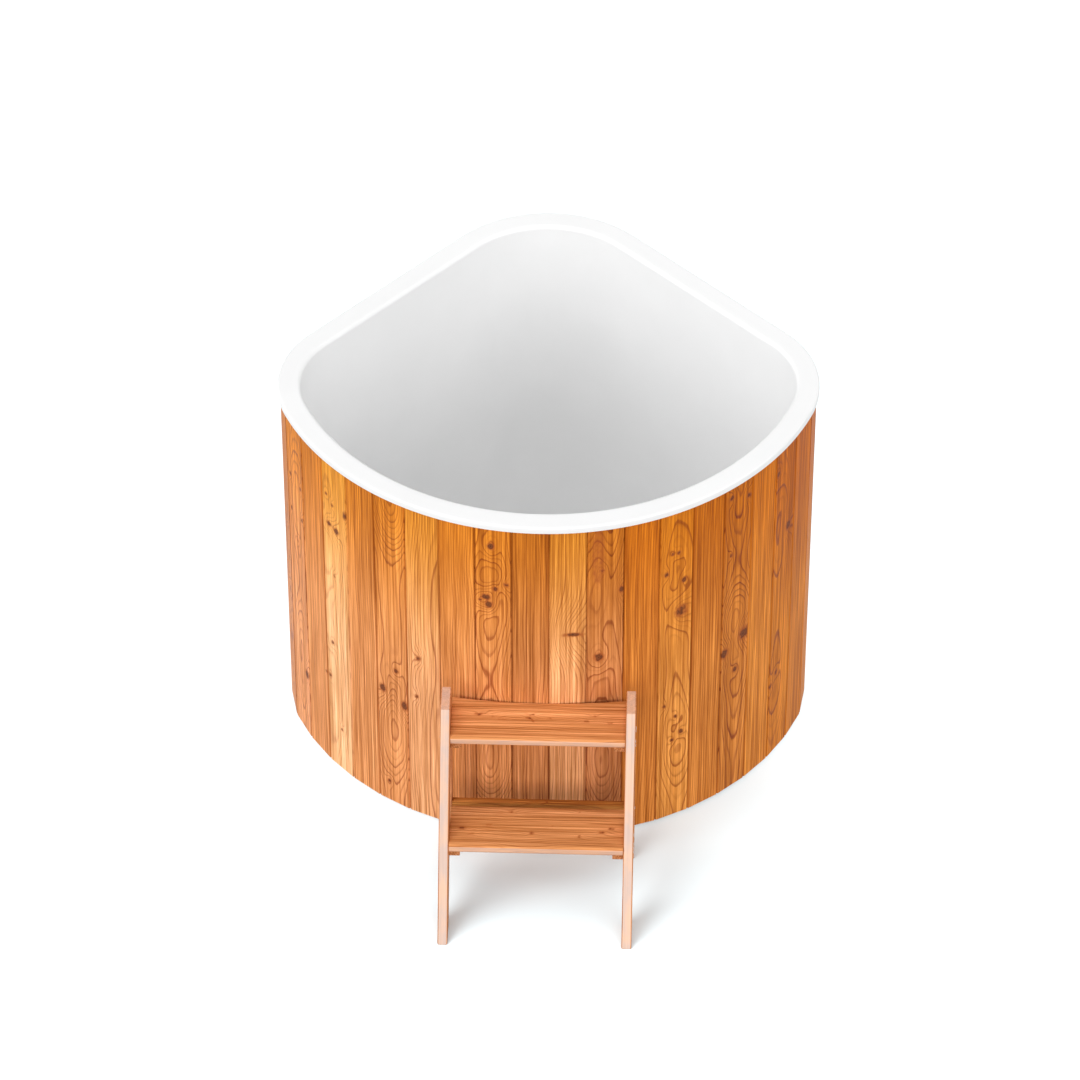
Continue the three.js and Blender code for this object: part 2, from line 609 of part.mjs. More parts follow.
function buildValve() {
  const group = new THREE.Group();
  group.position.set(0, valveStart, DRAIN_AXIS_HEIGHT);
  tub.add(group);
  const socketRim = PIPE_RADIUS + CLEARANCE + VALVE_SOCKET_WALL;
  const shell = turned(
    [
      [0, 0],
      [socketRim, 0],
      [socketRim, chamberStart - VALVE_CAP_RIM],
      [chamberRadius, chamberStart],
      [chamberRadius, chamberEnd],
      [0, chamberEnd],
    ],
    PIPE_SEGMENTS,
  );
  const boss = cylinder(STEM_BOSS_RADIUS, 0, bossTop).translate(0, ballCentre, 0);
  const seat = along(cylinder(PIPE_RADIUS + CLEARANCE, -VALVE_CAP_RIM, VALVE_ENGAGEMENT));
  const bore = along(cylinder(BALL_BORE_RADIUS, 0, chamberStart + VALVE_CAP_RIM));
  const cavity = along(cylinder(ballCavity + CLEARANCE, chamberStart, chamberEnd + VALVE_CAP_RIM));
  const stemBore = cylinder(STEM_RADIUS + RUNNING_CLEARANCE, 0, bossTop + VALVE_CAP_RIM);
  stemBore.translate(0, ballCentre, 0);
  addPiece(group, 'valve_body', cut(join(along(shell), boss), seat, bore, cavity, stemBore), 'brass');

  const plugStart = ballCentre + ballCavity;
  const capStart = chamberEnd + CLEARANCE;
  const capEnd = capStart + VALVE_CAP_LENGTH / 2;
  const outletEnd = capEnd + OUTLET_LENGTH;
  const spigot = turned(
    [
      [0, plugStart],
      [ballCavity, plugStart],
      [ballCavity, capStart],
      [OUTLET_RADIUS, capStart],
      [OUTLET_RADIUS, outletEnd],
      [0, outletEnd],
    ],
    PIPE_SEGMENTS,
  );
  const wrenchFlats = cylinder(chamberRadius, capStart, capEnd, HEXAGON);
  const outlet = cylinder(BALL_BORE_RADIUS, plugStart - VALVE_CAP_RIM, outletEnd + VALVE_CAP_RIM);
  const cap = cut(join(spigot, wrenchFlats), outlet);
  addPiece(group, 'valve_end_cap', along(cap), 'brass');

  const turning = new THREE.Group();
  turning.position.set(0, ballCentre, 0);
  group.add(turning);
  const meridian = arcPoints(0, 0, BALL_RADIUS, -QUARTER, QUARTER, BALL_RINGS).slice(1, -1);
  const profile = [[0, -BALL_RADIUS], ...meridian.map((p) => [p.x, p.y]), [0, BALL_RADIUS]];
  const ball = turned(profile, PIPE_SEGMENTS);
  const ballBore = cylinder(BALL_BORE_RADIUS, -2 * BALL_RADIUS, 2 * BALL_RADIUS).rotateY(QUARTER);
  const bladeHalf = STEM_BLADE_WIDTH / 2;
  const slotHalf = bladeHalf + CLEARANCE;
  const slotBottom = BALL_RADIUS - STEM_BLADE_DEPTH - CLEARANCE;
  const slot = box(-slotHalf, slotHalf, -BALL_RADIUS, BALL_RADIUS, slotBottom, 2 * BALL_RADIUS);
  addPiece(turning, 'valve_ball', cut(ball, ballBore, slot), 'steel');

  const stemFoot = BALL_RADIUS + CLEARANCE;
  const shaft = cylinder(STEM_RADIUS, stemFoot, bossTop + STEM_TOP);
  const bladeRun = STEM_RADIUS - RUNNING_CLEARANCE;
  const blade = box(-bladeHalf, bladeHalf, -bladeRun, bladeRun, slotBottom + CLEARANCE, stemFoot + bladeHalf);
  addPiece(turning, 'valve_stem', join(shaft, blade), 'steel');

  const leverBottom = bossTop + CLEARANCE;
  const outline = new THREE.Shape();
  const half = LEVER_WIDTH / 2;
  const neck = Math.asin(half / LEVER_EYE_RADIUS);
  outline.absarc(0, 0, LEVER_EYE_RADIUS, neck, 2 * Math.PI - neck, false);
  outline.absarc(LEVER_LENGTH - half, 0, half, -QUARTER, QUARTER, false);
  const eye = new THREE.Path();
  eye.absarc(0, 0, STEM_RADIUS + CLEARANCE, 0, 2 * Math.PI, true);
  outline.holes.push(eye);
  const plate = new THREE.ExtrudeGeometry(outline, {
    depth: LEVER_THICKNESS,
    bevelEnabled: false,
    curveSegments: PIPE_SEGMENTS,
  });
  addPiece(turning, 'valve_lever', plate.translate(0, 0, leverBottom), 'grip');
}

// Ladder, built in its own frame with the tub's front face at wallY
const wallY = -(FRONT_RADIUS - rimOverhang);
const insideHalf = LADDER_WIDTH / 2 - STRINGER_THICKNESS;
const treadHalf = insideHalf - CLEARANCE;
const stringerRun = STRINGER_WIDTH / Math.sin(LADDER_SLOPE);

function stringerFront(z) {
  return FOOT_REACH - z / Math.tan(LADDER_SLOPE);
}

function stringerBack(z) {
  return stringerFront(z) - stringerRun;
}

// The lower step is a nosed board with a narrow board behind it
const nosedBack = LOWER_TREAD_REACH - LOWER_TREAD_FRONT_DEPTH;
const plainFront = nosedBack - TREAD_JOINT_GAP;
const plainBack = plainFront - LOWER_TREAD_BACK_DEPTH;

// The rear legs stand upright under the stringers' tops, and a slat ties them at the front
const legBack = Math.max(REAR_LEG_WALL_GAP, stringerBack(STRINGER_TOP));
const legFront = legBack + REAR_LEG_WIDTH;

// A board on edge from a side outline of [distance from the wall, height] points, edges eased
function sideBoard(points, x0, thickness) {
  const edge = STRINGER_EDGE;
  const shape = new THREE.Shape(points.map(([reach, z]) => new THREE.Vector2(-reach, z)));
  const geometry = new THREE.ExtrudeGeometry(shape, {
    depth: thickness - 2 * edge,
    bevelThickness: edge,
    bevelSize: edge,
    bevelOffset: -edge,
    bevelSegments: 1,
  });
  geometry.rotateX(QUARTER).rotateZ(QUARTER);
  return geometry.translate(x0 + edge, wallY, 0);
}

// A board along the ladder's width from a section of [distance from the wall, height] points
function crossBoard(points, x0, x1) {
  const shape = new THREE.Shape(points.map((p) => new THREE.Vector2(-p.x, p.y)));
  const geometry = new THREE.ExtrudeGeometry(shape, { depth: x1 - x0, bevelEnabled: false });
  return geometry.rotateX(QUARTER).rotateZ(QUARTER).translate(x0, wallY, 0);
}

// Section of a tread with a rounded nose, from its back edge to its front
function treadSection(back, front, top) {
  const bottom = top - TREAD_THICKNESS;
  const nose = front - TREAD_NOSE_ROUND;
  return [
    new THREE.Vector2(back, bottom),
    ...arcPoints(nose, bottom + TREAD_NOSE_ROUND, TREAD_NOSE_ROUND, -QUARTER, 0, ROUND_STEPS),
    ...arcPoints(nose, top - TREAD_NOSE_ROUND, TREAD_NOSE_ROUND, 0, QUARTER, ROUND_STEPS),
    new THREE.Vector2(back, top),
  ];
}

function slatSection(back, front, top) {
  return [[back, top - TREAD_THICKNESS], [front, top - TREAD_THICKNESS], [front, top], [back, top]].map(
    ([reach, z]) => new THREE.Vector2(reach, z),
  );
}

function buildLadder() {
  const ladder = new THREE.Group();
  ladder.rotation.z = LADDER_TURN;
  tub.add(ladder);
  const outerX = -LADDER_WIDTH / 2;
  const stringer = [
    [stringerBack(0), 0],
    [stringerFront(0), 0],
    [stringerFront(STRINGER_TOP), STRINGER_TOP],
    [stringerBack(STRINGER_TOP), STRINGER_TOP],
  ];
  const legTop = (reach) => {
    const stringerUnderside = (FOOT_REACH - stringerRun - reach) * Math.tan(LADDER_SLOPE);
    return stringerUnderside - CLEARANCE / Math.cos(LADDER_SLOPE);
  };
  const leg = [
    [legBack, 0],
    [legFront, 0],
    [legFront, legTop(legFront)],
    [legBack, legTop(legBack)],
  ];
  for (const [side, x0] of [['left', outerX], ['right', insideHalf]]) {
    addPiece(ladder, `ladder_stringer_${side}`, sideBoard(stringer, x0, STRINGER_THICKNESS), 'ladder');
    addPiece(ladder, `ladder_rear_leg_${side}`, sideBoard(leg, x0, STRINGER_THICKNESS), 'ladder');
  }

  const deepest = UPPER_TREAD_WALL_GAP - UPPER_TREAD_REACH;
  const blank = crossBoard(treadSection(deepest, UPPER_TREAD_REACH, UPPER_STEP), -treadHalf, treadHalf);
  const wallCentre = wallY - UPPER_TREAD_WALL_GAP + UPPER_TREAD_BACK_RADIUS;
  const spread = Math.asin(insideHalf / UPPER_TREAD_BACK_RADIUS);
  const scribeRadius = UPPER_TREAD_BACK_RADIUS;
  const scribe = arcPoints(0, wallCentre, scribeRadius, spread - QUARTER, -spread - QUARTER, SCRIBE_STEPS);
  const front = wallY - 2 * UPPER_TREAD_REACH;
  const keep = [new THREE.Vector2(-insideHalf, front), new THREE.Vector2(insideHalf, front), ...scribe];
  const plan = upright(keep, UPPER_STEP - 2 * TREAD_THICKNESS, UPPER_STEP + TREAD_THICKNESS);
  addPiece(ladder, 'ladder_upper_tread', common(blank, plan), 'ladder');

  const nosed = treadSection(nosedBack, LOWER_TREAD_REACH, LOWER_STEP);
  addPiece(ladder, 'ladder_lower_tread_front', crossBoard(nosed, -treadHalf, treadHalf), 'ladder');
  const plain = slatSection(plainBack, plainFront, LOWER_STEP);
  addPiece(ladder, 'ladder_lower_tread_back', crossBoard(plain, -treadHalf, treadHalf), 'ladder');
  const slat = slatSection(legFront - REAR_SLAT_DEPTH, legFront, REAR_SLAT_TOP);
  addPiece(ladder, 'ladder_rear_slat', crossBoard(slat, -treadHalf, treadHalf), 'ladder');

  const cleatInner = treadHalf - CLEAT_WIDTH;
  const steps = [
    ['lower', LOWER_STEP, plainBack, LOWER_TREAD_REACH],
    ['upper', UPPER_STEP, CLEAT_WALL_SETBACK, UPPER_TREAD_REACH],
  ];
  for (const [step, top, back, reach] of steps) {
    const z1 = top - TREAD_THICKNESS - CLEARANCE;
    const y0 = wallY - reach + CLEAT_NOSE_SETBACK;
    const y1 = wallY - back;
    const left = box(-treadHalf, -cleatInner, y0, y1, z1 - CLEAT_HEIGHT, z1);
    const right = box(cleatInner, treadHalf, y0, y1, z1 - CLEAT_HEIGHT, z1);
    addPiece(ladder, `ladder_${step}_cleat_left`, left, 'ladder');
    addPiece(ladder, `ladder_${step}_cleat_right`, right, 'ladder');
  }
}

buildLiner();
buildCladding();
buildRibs();
buildBase();
buildDrain();
buildValve();
buildLadder();

export default tub;
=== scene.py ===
# %% [markdown]
# # A corner plunge tub, dressed for its photograph
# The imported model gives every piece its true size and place. This lesson adds the looks: a satin
# white liner, a drum of oiled boards with rings and knots, a two-step ladder and the drain at the
# back. Everything is in metres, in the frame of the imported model.

import json
import math

import bpy
import numpy as np
from mathutils import Matrix, Vector

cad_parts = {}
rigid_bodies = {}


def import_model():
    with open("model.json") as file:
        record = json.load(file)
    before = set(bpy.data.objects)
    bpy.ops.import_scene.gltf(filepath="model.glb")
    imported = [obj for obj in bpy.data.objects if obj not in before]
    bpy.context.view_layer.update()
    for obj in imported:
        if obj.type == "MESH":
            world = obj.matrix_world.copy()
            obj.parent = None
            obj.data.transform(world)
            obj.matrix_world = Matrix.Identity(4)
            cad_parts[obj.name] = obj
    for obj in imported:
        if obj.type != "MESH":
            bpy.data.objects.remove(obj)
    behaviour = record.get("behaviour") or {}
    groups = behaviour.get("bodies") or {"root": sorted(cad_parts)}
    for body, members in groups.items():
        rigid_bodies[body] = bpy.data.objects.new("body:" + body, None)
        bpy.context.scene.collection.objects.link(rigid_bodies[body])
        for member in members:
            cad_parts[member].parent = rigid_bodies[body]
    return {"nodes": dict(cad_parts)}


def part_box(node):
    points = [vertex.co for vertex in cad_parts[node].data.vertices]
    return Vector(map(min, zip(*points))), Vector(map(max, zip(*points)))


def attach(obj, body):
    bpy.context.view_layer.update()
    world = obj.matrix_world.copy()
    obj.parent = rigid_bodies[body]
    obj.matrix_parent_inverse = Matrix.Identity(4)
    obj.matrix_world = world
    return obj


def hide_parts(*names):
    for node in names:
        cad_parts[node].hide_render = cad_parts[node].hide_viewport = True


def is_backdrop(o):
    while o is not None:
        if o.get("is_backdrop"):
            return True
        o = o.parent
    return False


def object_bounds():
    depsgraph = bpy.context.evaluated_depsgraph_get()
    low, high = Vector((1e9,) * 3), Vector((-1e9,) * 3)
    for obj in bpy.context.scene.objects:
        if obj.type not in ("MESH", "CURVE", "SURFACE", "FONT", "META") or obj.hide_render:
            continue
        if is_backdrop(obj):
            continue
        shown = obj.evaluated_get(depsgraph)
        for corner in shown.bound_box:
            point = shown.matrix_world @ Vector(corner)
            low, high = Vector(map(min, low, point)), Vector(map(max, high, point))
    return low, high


for leftover in list(bpy.data.objects):
    bpy.data.objects.remove(leftover)
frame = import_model()
cad_low, cad_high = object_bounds()
nodes = frame["nodes"]
scene = bpy.context.scene
scene.view_settings.view_transform = "Standard"
print("packed pieces:", len(nodes), "box:", [round(v, 3) for v in (cad_high - cad_low)])

# %% [markdown]
# ## The camera
# The photograph was taken with a long lens from above the ladder. A camera can be aimed by eye, but
# here its place, tilt and focal length were worked out from the rim, the board joints and the ladder,
# so it is set from those numbers: a point, a turn to the side, a tilt down and a lens.

# %% Camera
CAMERA_PLACE = Vector((-0.04325, -10.35824, 10.06341))
CAMERA_YAW = math.radians(0.132)
CAMERA_TILT = math.radians(43.158)
PHOTO_PIXELS = 1080
FOCAL_PIXELS = 5934.378
SENSOR_WIDTH = 36.0

ahead = Vector((math.sin(CAMERA_YAW) * math.cos(CAMERA_TILT),
                math.cos(CAMERA_YAW) * math.cos(CAMERA_TILT),
                -math.sin(CAMERA_TILT)))
across = Vector((math.cos(CAMERA_YAW), -math.sin(CAMERA_YAW), 0))
up = across.cross(ahead)
camera = bpy.data.objects.new("camera", bpy.data.cameras.new("camera"))
scene.collection.objects.link(camera)
camera.data.sensor_width = SENSOR_WIDTH
camera.data.lens = FOCAL_PIXELS * SENSOR_WIDTH / PHOTO_PIXELS
turned = Matrix((across, up, -ahead)).transposed().to_4x4()
camera.matrix_world = Matrix.Translation(CAMERA_PLACE) @ turned
scene.camera = camera
print("lens:", round(camera.data.lens, 1), "mm")

# %% [markdown]
# ## Finishes are node trees
# Every finish here is a small tree of nodes round one Principled shader. Three helpers keep the trees
# readable: one starts a finish with its fixed values on the shader's own sockets, one adds a node and
# wires it, and one adds a colour ramp.

# %% Helpers for finishes
def new_finish(name, fixed):
    finish = bpy.data.materials.new(name)
    finish.use_nodes = True
    shader = finish.node_tree.nodes["Principled BSDF"]
    for socket, value in fixed.items():
        shader.inputs[socket].default_value = value
    return finish, finish.node_tree, shader


def wire(tree, node, inputs):
    for socket, value in inputs.items():
        if isinstance(value, bpy.types.NodeSocket):
            tree.links.new(value, node.inputs[socket])
        else:
            node.inputs[socket].default_value = value


def add(tree, kind, inputs, **settings):
    node = tree.nodes.new("ShaderNode" + kind)
    for key, value in settings.items():
        setattr(node, key, value)
    wire(tree, node, inputs)
    return node


def ramp(tree, factor, stops):
    node = add(tree, "ValToRGB", {"Fac": factor})
    elements = node.color_ramp.elements
    while len(elements) < len(stops):
        elements.new(0.5)
    for element, (place, colour) in zip(elements, stops):
        element.position = place
        element.color = (*colour, 1)
    return node.outputs["Color"]


def grey(value):
    return (value, value, value)


def mixed(tree, factor, first, second, how="MIX"):
    node = add(tree, "Mix", {0: factor, 6: first, 7: second}, data_type="RGBA", blend_type=how)
    return node.outputs[2]


def sums(tree, how, *values):
    return add(tree, "Math", dict(enumerate(values)), operation=how).outputs[0]


def spread(tree, value, low, high):
    inputs = {"Value": value, "To Min": low, "To Max": high}
    return add(tree, "MapRange", inputs).outputs["Result"]


def bump(tree, shader, height, strength, depth):
    node = add(tree, "Bump", {"Height": height, "Strength": strength, "Distance": depth})
    wire(tree, shader, {"Normal": node.outputs["Normal"]})


# %% [markdown]
# ## The studio
# The photograph has a white ground with a soft grey shadow under the ladder. The floor is one wide
# plane. Rays that come from the camera see a pale grey, which its lamps turn white, so that only the
# shadow shows. Light that bounces off it sees a darker grey, because a white floor would fill every
# hollow of the ladder. The pale grey leans to blue: the orange boards throw warm light on the floor
# beside them, and the shadow should be neutral.

# %% Floor
FLOOR_SIZE = 80
FLOOR_DROP = 0.0003
FLOOR_COLOUR = (0.32, 0.32, 0.32, 1)
FLOOR_SEEN = (0.69, 0.77, 0.80, 1)

bpy.ops.object.select_all(action="DESELECT")
bpy.ops.mesh.primitive_plane_add(size=FLOOR_SIZE, location=(0, 0, -FLOOR_DROP))
floor = bpy.context.object
floor.name = "floor"
floor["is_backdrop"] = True


def seen_directly(tree):
    light = add(tree, "LightPath", {})
    seen = sums(tree, "MAXIMUM", light.outputs["Is Camera Ray"], light.outputs["Is Glossy Ray"])
    return sums(tree, "MAXIMUM", seen, light.outputs["Is Transmission Ray"])


ground, tree, shader = new_finish("pale_ground", {"Roughness": 1.0, "Specular IOR Level": 0.0})
wire(tree, shader, {"Base Color": mixed(tree, seen_directly(tree), FLOOR_COLOUR, FLOOR_SEEN)})
floor.data.materials.append(ground)
print("floor:", FLOOR_SIZE, "m wide")

# %% [markdown]
# The photograph lights the wood, the liner and the floor differently, so each has lamps of its own.
# The boards and the ladder get a high lamp, three low ones in front, of which the left one is the
# strongest, and two behind for the back and the edges. The liner gets three wide lamps, whose light
# fades with depth, and two low ones that reach over the rim to the top of the back wall. On the floor
# the photograph has a clear shadow of the ladder and almost none of the drum. So the floor's two lamps,
# one overhead and one low from the left, are blocked by the ladder alone. A pale world fills the rest.
# Wide suns light every place alike, so the floor has no bright pool in it.

# %% Light
LIGHTS = {
    "high_softbox": ((-0.20, -0.30, 1.0), 1.40, 46),
    "left_softbox": ((-0.75, -0.66, 0.34), 1.25, 32),
    "right_softbox": ((0.72, -0.70, 0.34), 0.98, 32),
    "front_softbox": ((0.0, -1.0, 0.45), 1.10, 30),
    "back_left": ((-0.75, 0.66, 0.34), 1.1, 36),
    "back_right": ((0.72, 0.70, 0.34), 0.7, 36),
    "tub_left": ((-0.70, -0.10, 0.70), 1.65, 90),
    "tub_right": ((0.70, -0.10, 0.70), 0.68, 90),
    "tub_front": ((0.0, -0.70, 0.70), 1.15, 90),
    "tub_low_left": ((-0.75, -0.66, 0.34), 0.45, 32),
    "tub_low_right": ((0.72, -0.70, 0.34), 0.64, 32),
    "floor_overhead": ((0.0, -0.18, 1.0), 3.2, 90),
    "floor_from_left": ((-0.77, -0.64, 0.55), 3.3, 45),
}
SKY_STRENGTH = 0.2

GROUPS = ("just_floor", "floor_blockers", "just_liner", "all_else")
just_floor, floor_blockers, just_liner, all_else = map(bpy.data.collections.new, GROUPS)


def light_apart(thing, own_lamps):
    """Gives a thing lamps of its own, and keeps the other lamps off it."""
    own_lamps.objects.link(thing)
    all_else.objects.link(thing)
    all_else.collection_objects[-1].light_linking.link_state = "EXCLUDE"


light_apart(floor, just_floor)
on_rim = SKY_STRENGTH
for name, (place, strength, width) in LIGHTS.items():
    lamp = bpy.data.objects.new(name, bpy.data.lights.new(name, "SUN"))
    scene.collection.objects.link(lamp)
    lamp.data.energy = strength
    lamp.data.angle = math.radians(width)
    lamp.matrix_world = Vector(place).to_track_quat("Z", "Y").to_matrix().to_4x4()
    linking = lamp.light_linking
    linking.receiver_collection = all_else
    if name.startswith("tub"):
        linking.receiver_collection = just_liner
        on_rim += strength * Vector(place).normalized().z / math.pi
    if name.startswith("floor"):
        linking.receiver_collection = just_floor
        linking.blocker_collection = floor_blockers

world = bpy.data.worlds.new("pale_room")
scene.world = world
world.use_nodes = True
room = world.node_tree
glow = spread(room, seen_directly(room), SKY_STRENGTH, 1.0)
wire(room, room.nodes["Background"], {"Color": (1, 1, 1, 1), "Strength": glow})
print("lamps:", len(LIGHTS), "light on the rim:", round(on_rim, 2))

# %% [markdown]
# ## Picking by place
# An operator works on what is selected. These helpers deselect everything, then pick faces or edges
# by a rule on their place or direction, the way a modeller clicks them.

# %% Helpers for modelling
def only(piece):
    bpy.ops.object.select_all(action="DESELECT")
    piece.select_set(True)
    bpy.context.view_layer.objects.active = piece


def enter(piece):
    only(piece)
    bpy.ops.object.mode_set(mode="EDIT")


def leave():
    bpy.ops.object.mode_set(mode="OBJECT")


def pick(piece, kind, rule):
    mesh = piece.data
    for group in (mesh.vertices, mesh.edges, mesh.polygons):
        group.foreach_set("select", [False] * len(group))
    group = getattr(mesh, kind)
    chosen = [bool(rule(item)) for item in group]
    group.foreach_set("select", chosen)
    modes = ("vertices", "edges", "polygons")
    bpy.context.tool_settings.mesh_select_mode = [kind == mode for mode in modes]
    enter(piece)
    return sum(chosen)


def ends(piece, edge):
    first, second = (piece.data.vertices[v].co for v in edge.vertices)
    return first, second


# %% [markdown]
# ## The liner
# The real liner is one shell of white resin, laid up in a mould: a sloping wall, a coved floor, and a
# flat rim that rolls over the boards. It could be a lathe shape, but its plan isn't round: a wide
# front arc, two straight sides and three corners. So its section is drawn once, by pulling one point
# along, and then swept: spun round the front arc, spun round the side corner, pulled along the
# straight and spun round half of the rear corner. The other half is its mirror image.

# %% Liner section
FRONT_RADIUS = 0.656
CORNER_SETBACK = 0.5625
REAR_RADIUS = 0.286
SIDE_RADIUS = 0.243
HEIGHT = 1.0
WALL = 0.005
RIM_WIDTH = 0.053
RIM_ROUND = 0.009
LIP_HEIGHT = 0.016
LIP_WALL = 0.004
DRAFT = math.radians(3.5)
FLOOR_LEVEL = 0.0839
COVE = 0.036
HOLD = 0.004
QUARTER = math.pi / 2
START_SIZE = 0.01


def curve(centre, radius, start, stop, steps):
    angles = np.linspace(start, stop, steps + 1)
    return [(centre[0] + radius * math.cos(a), centre[1] + radius * math.sin(a)) for a in angles]


cove_height = FLOOR_LEVEL + COVE
cove_inset = RIM_WIDTH + (COVE + (HEIGHT - cove_height) * math.sin(DRAFT)) / math.cos(DRAFT)
rim_inset = RIM_WIDTH - RIM_ROUND * (1 - math.sin(DRAFT)) / math.cos(DRAFT)
cove_centre = (cove_inset, cove_height)
rim_centre = (rim_inset, HEIGHT - RIM_ROUND)
lip_centre = (LIP_WALL, HEIGHT - LIP_WALL)


def with_holds(first, second):
    """Two short steps beside the ends of a long flat run, so that its shading stays flat."""
    run = Vector(second) - Vector(first)
    step = run.normalized() * HOLD
    return [tuple(Vector(first) + step), tuple(Vector(second) - step)]


inner_cove = curve(cove_centre, COVE, 3 * QUARTER, math.pi + DRAFT, steps=9)
inner_round = curve(rim_centre, RIM_ROUND, DRAFT, QUARTER, steps=8)
outer_round = curve(lip_centre, LIP_WALL, QUARTER, math.pi, steps=6)
under_round = curve(rim_centre, RIM_ROUND - WALL, QUARTER, DRAFT, steps=4)
outer_cove = curve(cove_centre, COVE + WALL, math.pi + DRAFT, 3 * QUARTER, steps=6)
section = [
    *inner_cove, *with_holds(inner_cove[-1], inner_round[0]),
    *inner_round, *with_holds(inner_round[-1], outer_round[0]),
    *outer_round, (0, HEIGHT - LIP_HEIGHT), (LIP_WALL, HEIGHT - LIP_HEIGHT),
    (LIP_WALL, HEIGHT - WALL), *under_round, *outer_cove,
]

bpy.ops.object.select_all(action="DESELECT")
start = (0, -FRONT_RADIUS + section[0][0], section[0][1])
bpy.ops.mesh.primitive_plane_add(size=START_SIZE, location=start)
liner = bpy.context.object
liner.name = "liner_shell"
bpy.ops.object.transform_apply(location=True)
enter(liner)
bpy.ops.mesh.select_all(action="SELECT")
bpy.ops.mesh.merge(type="CENTER")
for here, there in zip(section[:-1], section[1:]):
    move = (0, there[0] - here[0], there[1] - here[1])
    bpy.ops.mesh.extrude_vertices_move(TRANSFORM_OT_translate={"value": move})
leave()
print("section points:", len(liner.data.vertices))

# %% Sweep the section round the plan
FRONT_STEPS = 40
SIDE_STEPS = 22
REAR_STEPS = 16

side_along = CORNER_SETBACK / math.sqrt(2) - SIDE_RADIUS
side_across = math.sqrt((FRONT_RADIUS - SIDE_RADIUS) ** 2 - side_along ** 2)
side_centre = Vector((side_along + side_across, side_along - side_across, 0)) / math.sqrt(2)
rear_centre = Vector((0, CORNER_SETBACK - REAR_RADIUS * math.sqrt(2), 0))
side_angle = math.atan2(side_centre.y, side_centre.x)
diagonal = Vector((1, 1, 0)).normalized()
straight = rear_centre + REAR_RADIUS * diagonal - side_centre - SIDE_RADIUS * diagonal


def spin(angle, centre, steps):
    bpy.ops.mesh.spin(steps=steps, angle=angle, center=centre, axis=(0, 0, -1))


enter(liner)
bpy.ops.mesh.select_all(action="SELECT")
spin(QUARTER + side_angle, (0, 0, 0), FRONT_STEPS)
spin(QUARTER / 2 - side_angle, side_centre, SIDE_STEPS)
bpy.ops.mesh.extrude_region_move(TRANSFORM_OT_translate={"value": straight})
spin(QUARTER / 2, rear_centre, REAR_STEPS)
leave()
for corner in (liner.bound_box[0], liner.bound_box[6]):
    print("half of the liner reaches", [round(c, 3) for c in corner])

# %% Mirror the half, close both floors and cut the drain hole
DRAIN_HOLE = 0.031
DRILL_LENGTH = 0.03
DRILL_SIDES = 64
CLOSE = 0.00001
SMOOTH_BELOW = math.radians(30)


def at_level(level):
    return lambda v: abs(v.co.z - level) < CLOSE


enter(liner)
bpy.ops.mesh.select_all(action="SELECT")
bpy.ops.mesh.symmetrize(direction="POSITIVE_X", threshold=CLOSE)
bpy.ops.mesh.remove_doubles(threshold=CLOSE)
leave()
for level in (FLOOR_LEVEL, FLOOR_LEVEL - WALL):
    count = pick(liner, "vertices", at_level(level))
    bpy.ops.mesh.edge_face_add()
    leave()
enter(liner)
bpy.ops.mesh.select_all(action="SELECT")
bpy.ops.mesh.normals_make_consistent(inside=False)
leave()


def drill(piece, place, radius, depth):
    """Cuts a round hole with a cylinder that is thrown away afterwards."""
    bpy.ops.object.select_all(action="DESELECT")
    bpy.ops.mesh.primitive_cylinder_add(vertices=DRILL_SIDES, radius=radius, depth=depth,
                                        location=place)
    bit = bpy.context.object
    only(piece)
    hole = piece.modifiers.new("hole", "BOOLEAN")
    hole.object = bit
    hole.operation = "DIFFERENCE"
    bpy.ops.object.modifier_apply(modifier=hole.name)
    bpy.data.objects.remove(bit)


drill(liner, (rear_centre.x, rear_centre.y, FLOOR_LEVEL), DRAIN_HOLE, DRILL_LENGTH)
only(liner)
bpy.ops.object.shade_smooth_by_angle(angle=SMOOTH_BELOW)
print("liner faces:", len(liner.data.polygons), "corners round the floor:", count)

# %% [markdown]
# The resin is white, satin and very slightly uneven, as gel brushed into a mould is. Cloudy noise
# shifts the white by a trace and the gloss by a little more, and a faint ripple bends the reflections.

# %% Liner finish
resin, tree, shader = new_finish("white_resin", {"Specular IOR Level": 0.3})
place = add(tree, "TexCoord", {}).outputs["Object"]
cloud = add(tree, "TexNoise", {"Vector": place, "Scale": 5.0, "Detail": 3.0}).outputs["Fac"]
ripple = add(tree, "TexNoise", {"Vector": place, "Scale": 38.0, "Detail": 2.0}).outputs["Fac"]
white = ramp(tree, cloud, [(0.3, (0.865, 0.866, 0.866)), (0.7, (0.892, 0.892, 0.892))])
wire(tree, shader, {"Base Color": white, "Roughness": spread(tree, cloud, 0.36, 0.46)})
bump(tree, shader, ripple, strength=0.04, depth=0.002)
liner.data.materials.append(resin)
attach(liner, "tub")
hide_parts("liner")
light_apart(liner, just_liner)

# %% [markdown]
# ## Boards that remember the tree
# The drum is clad in upright boards of reddish softwood. A flat picture of wood would repeat, so each
# board is treated as what it is: a slice out of a log. A log is a stack of growth rings round a pith.
# Where the pith lies far to one side, the saw leaves straight lines. Where it lies just behind the
# face and wanders, the rings come out as pointed flames. So every board gets its own pith, and each
# corner of its mesh stores how many rings it is away from it. The finish turns that number into lines.
#
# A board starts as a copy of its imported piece. The loose triangles are merged, the show face is ruled
# into narrow strips, and all the long edges are divided, so that rings and knots have corners to be
# stored on.

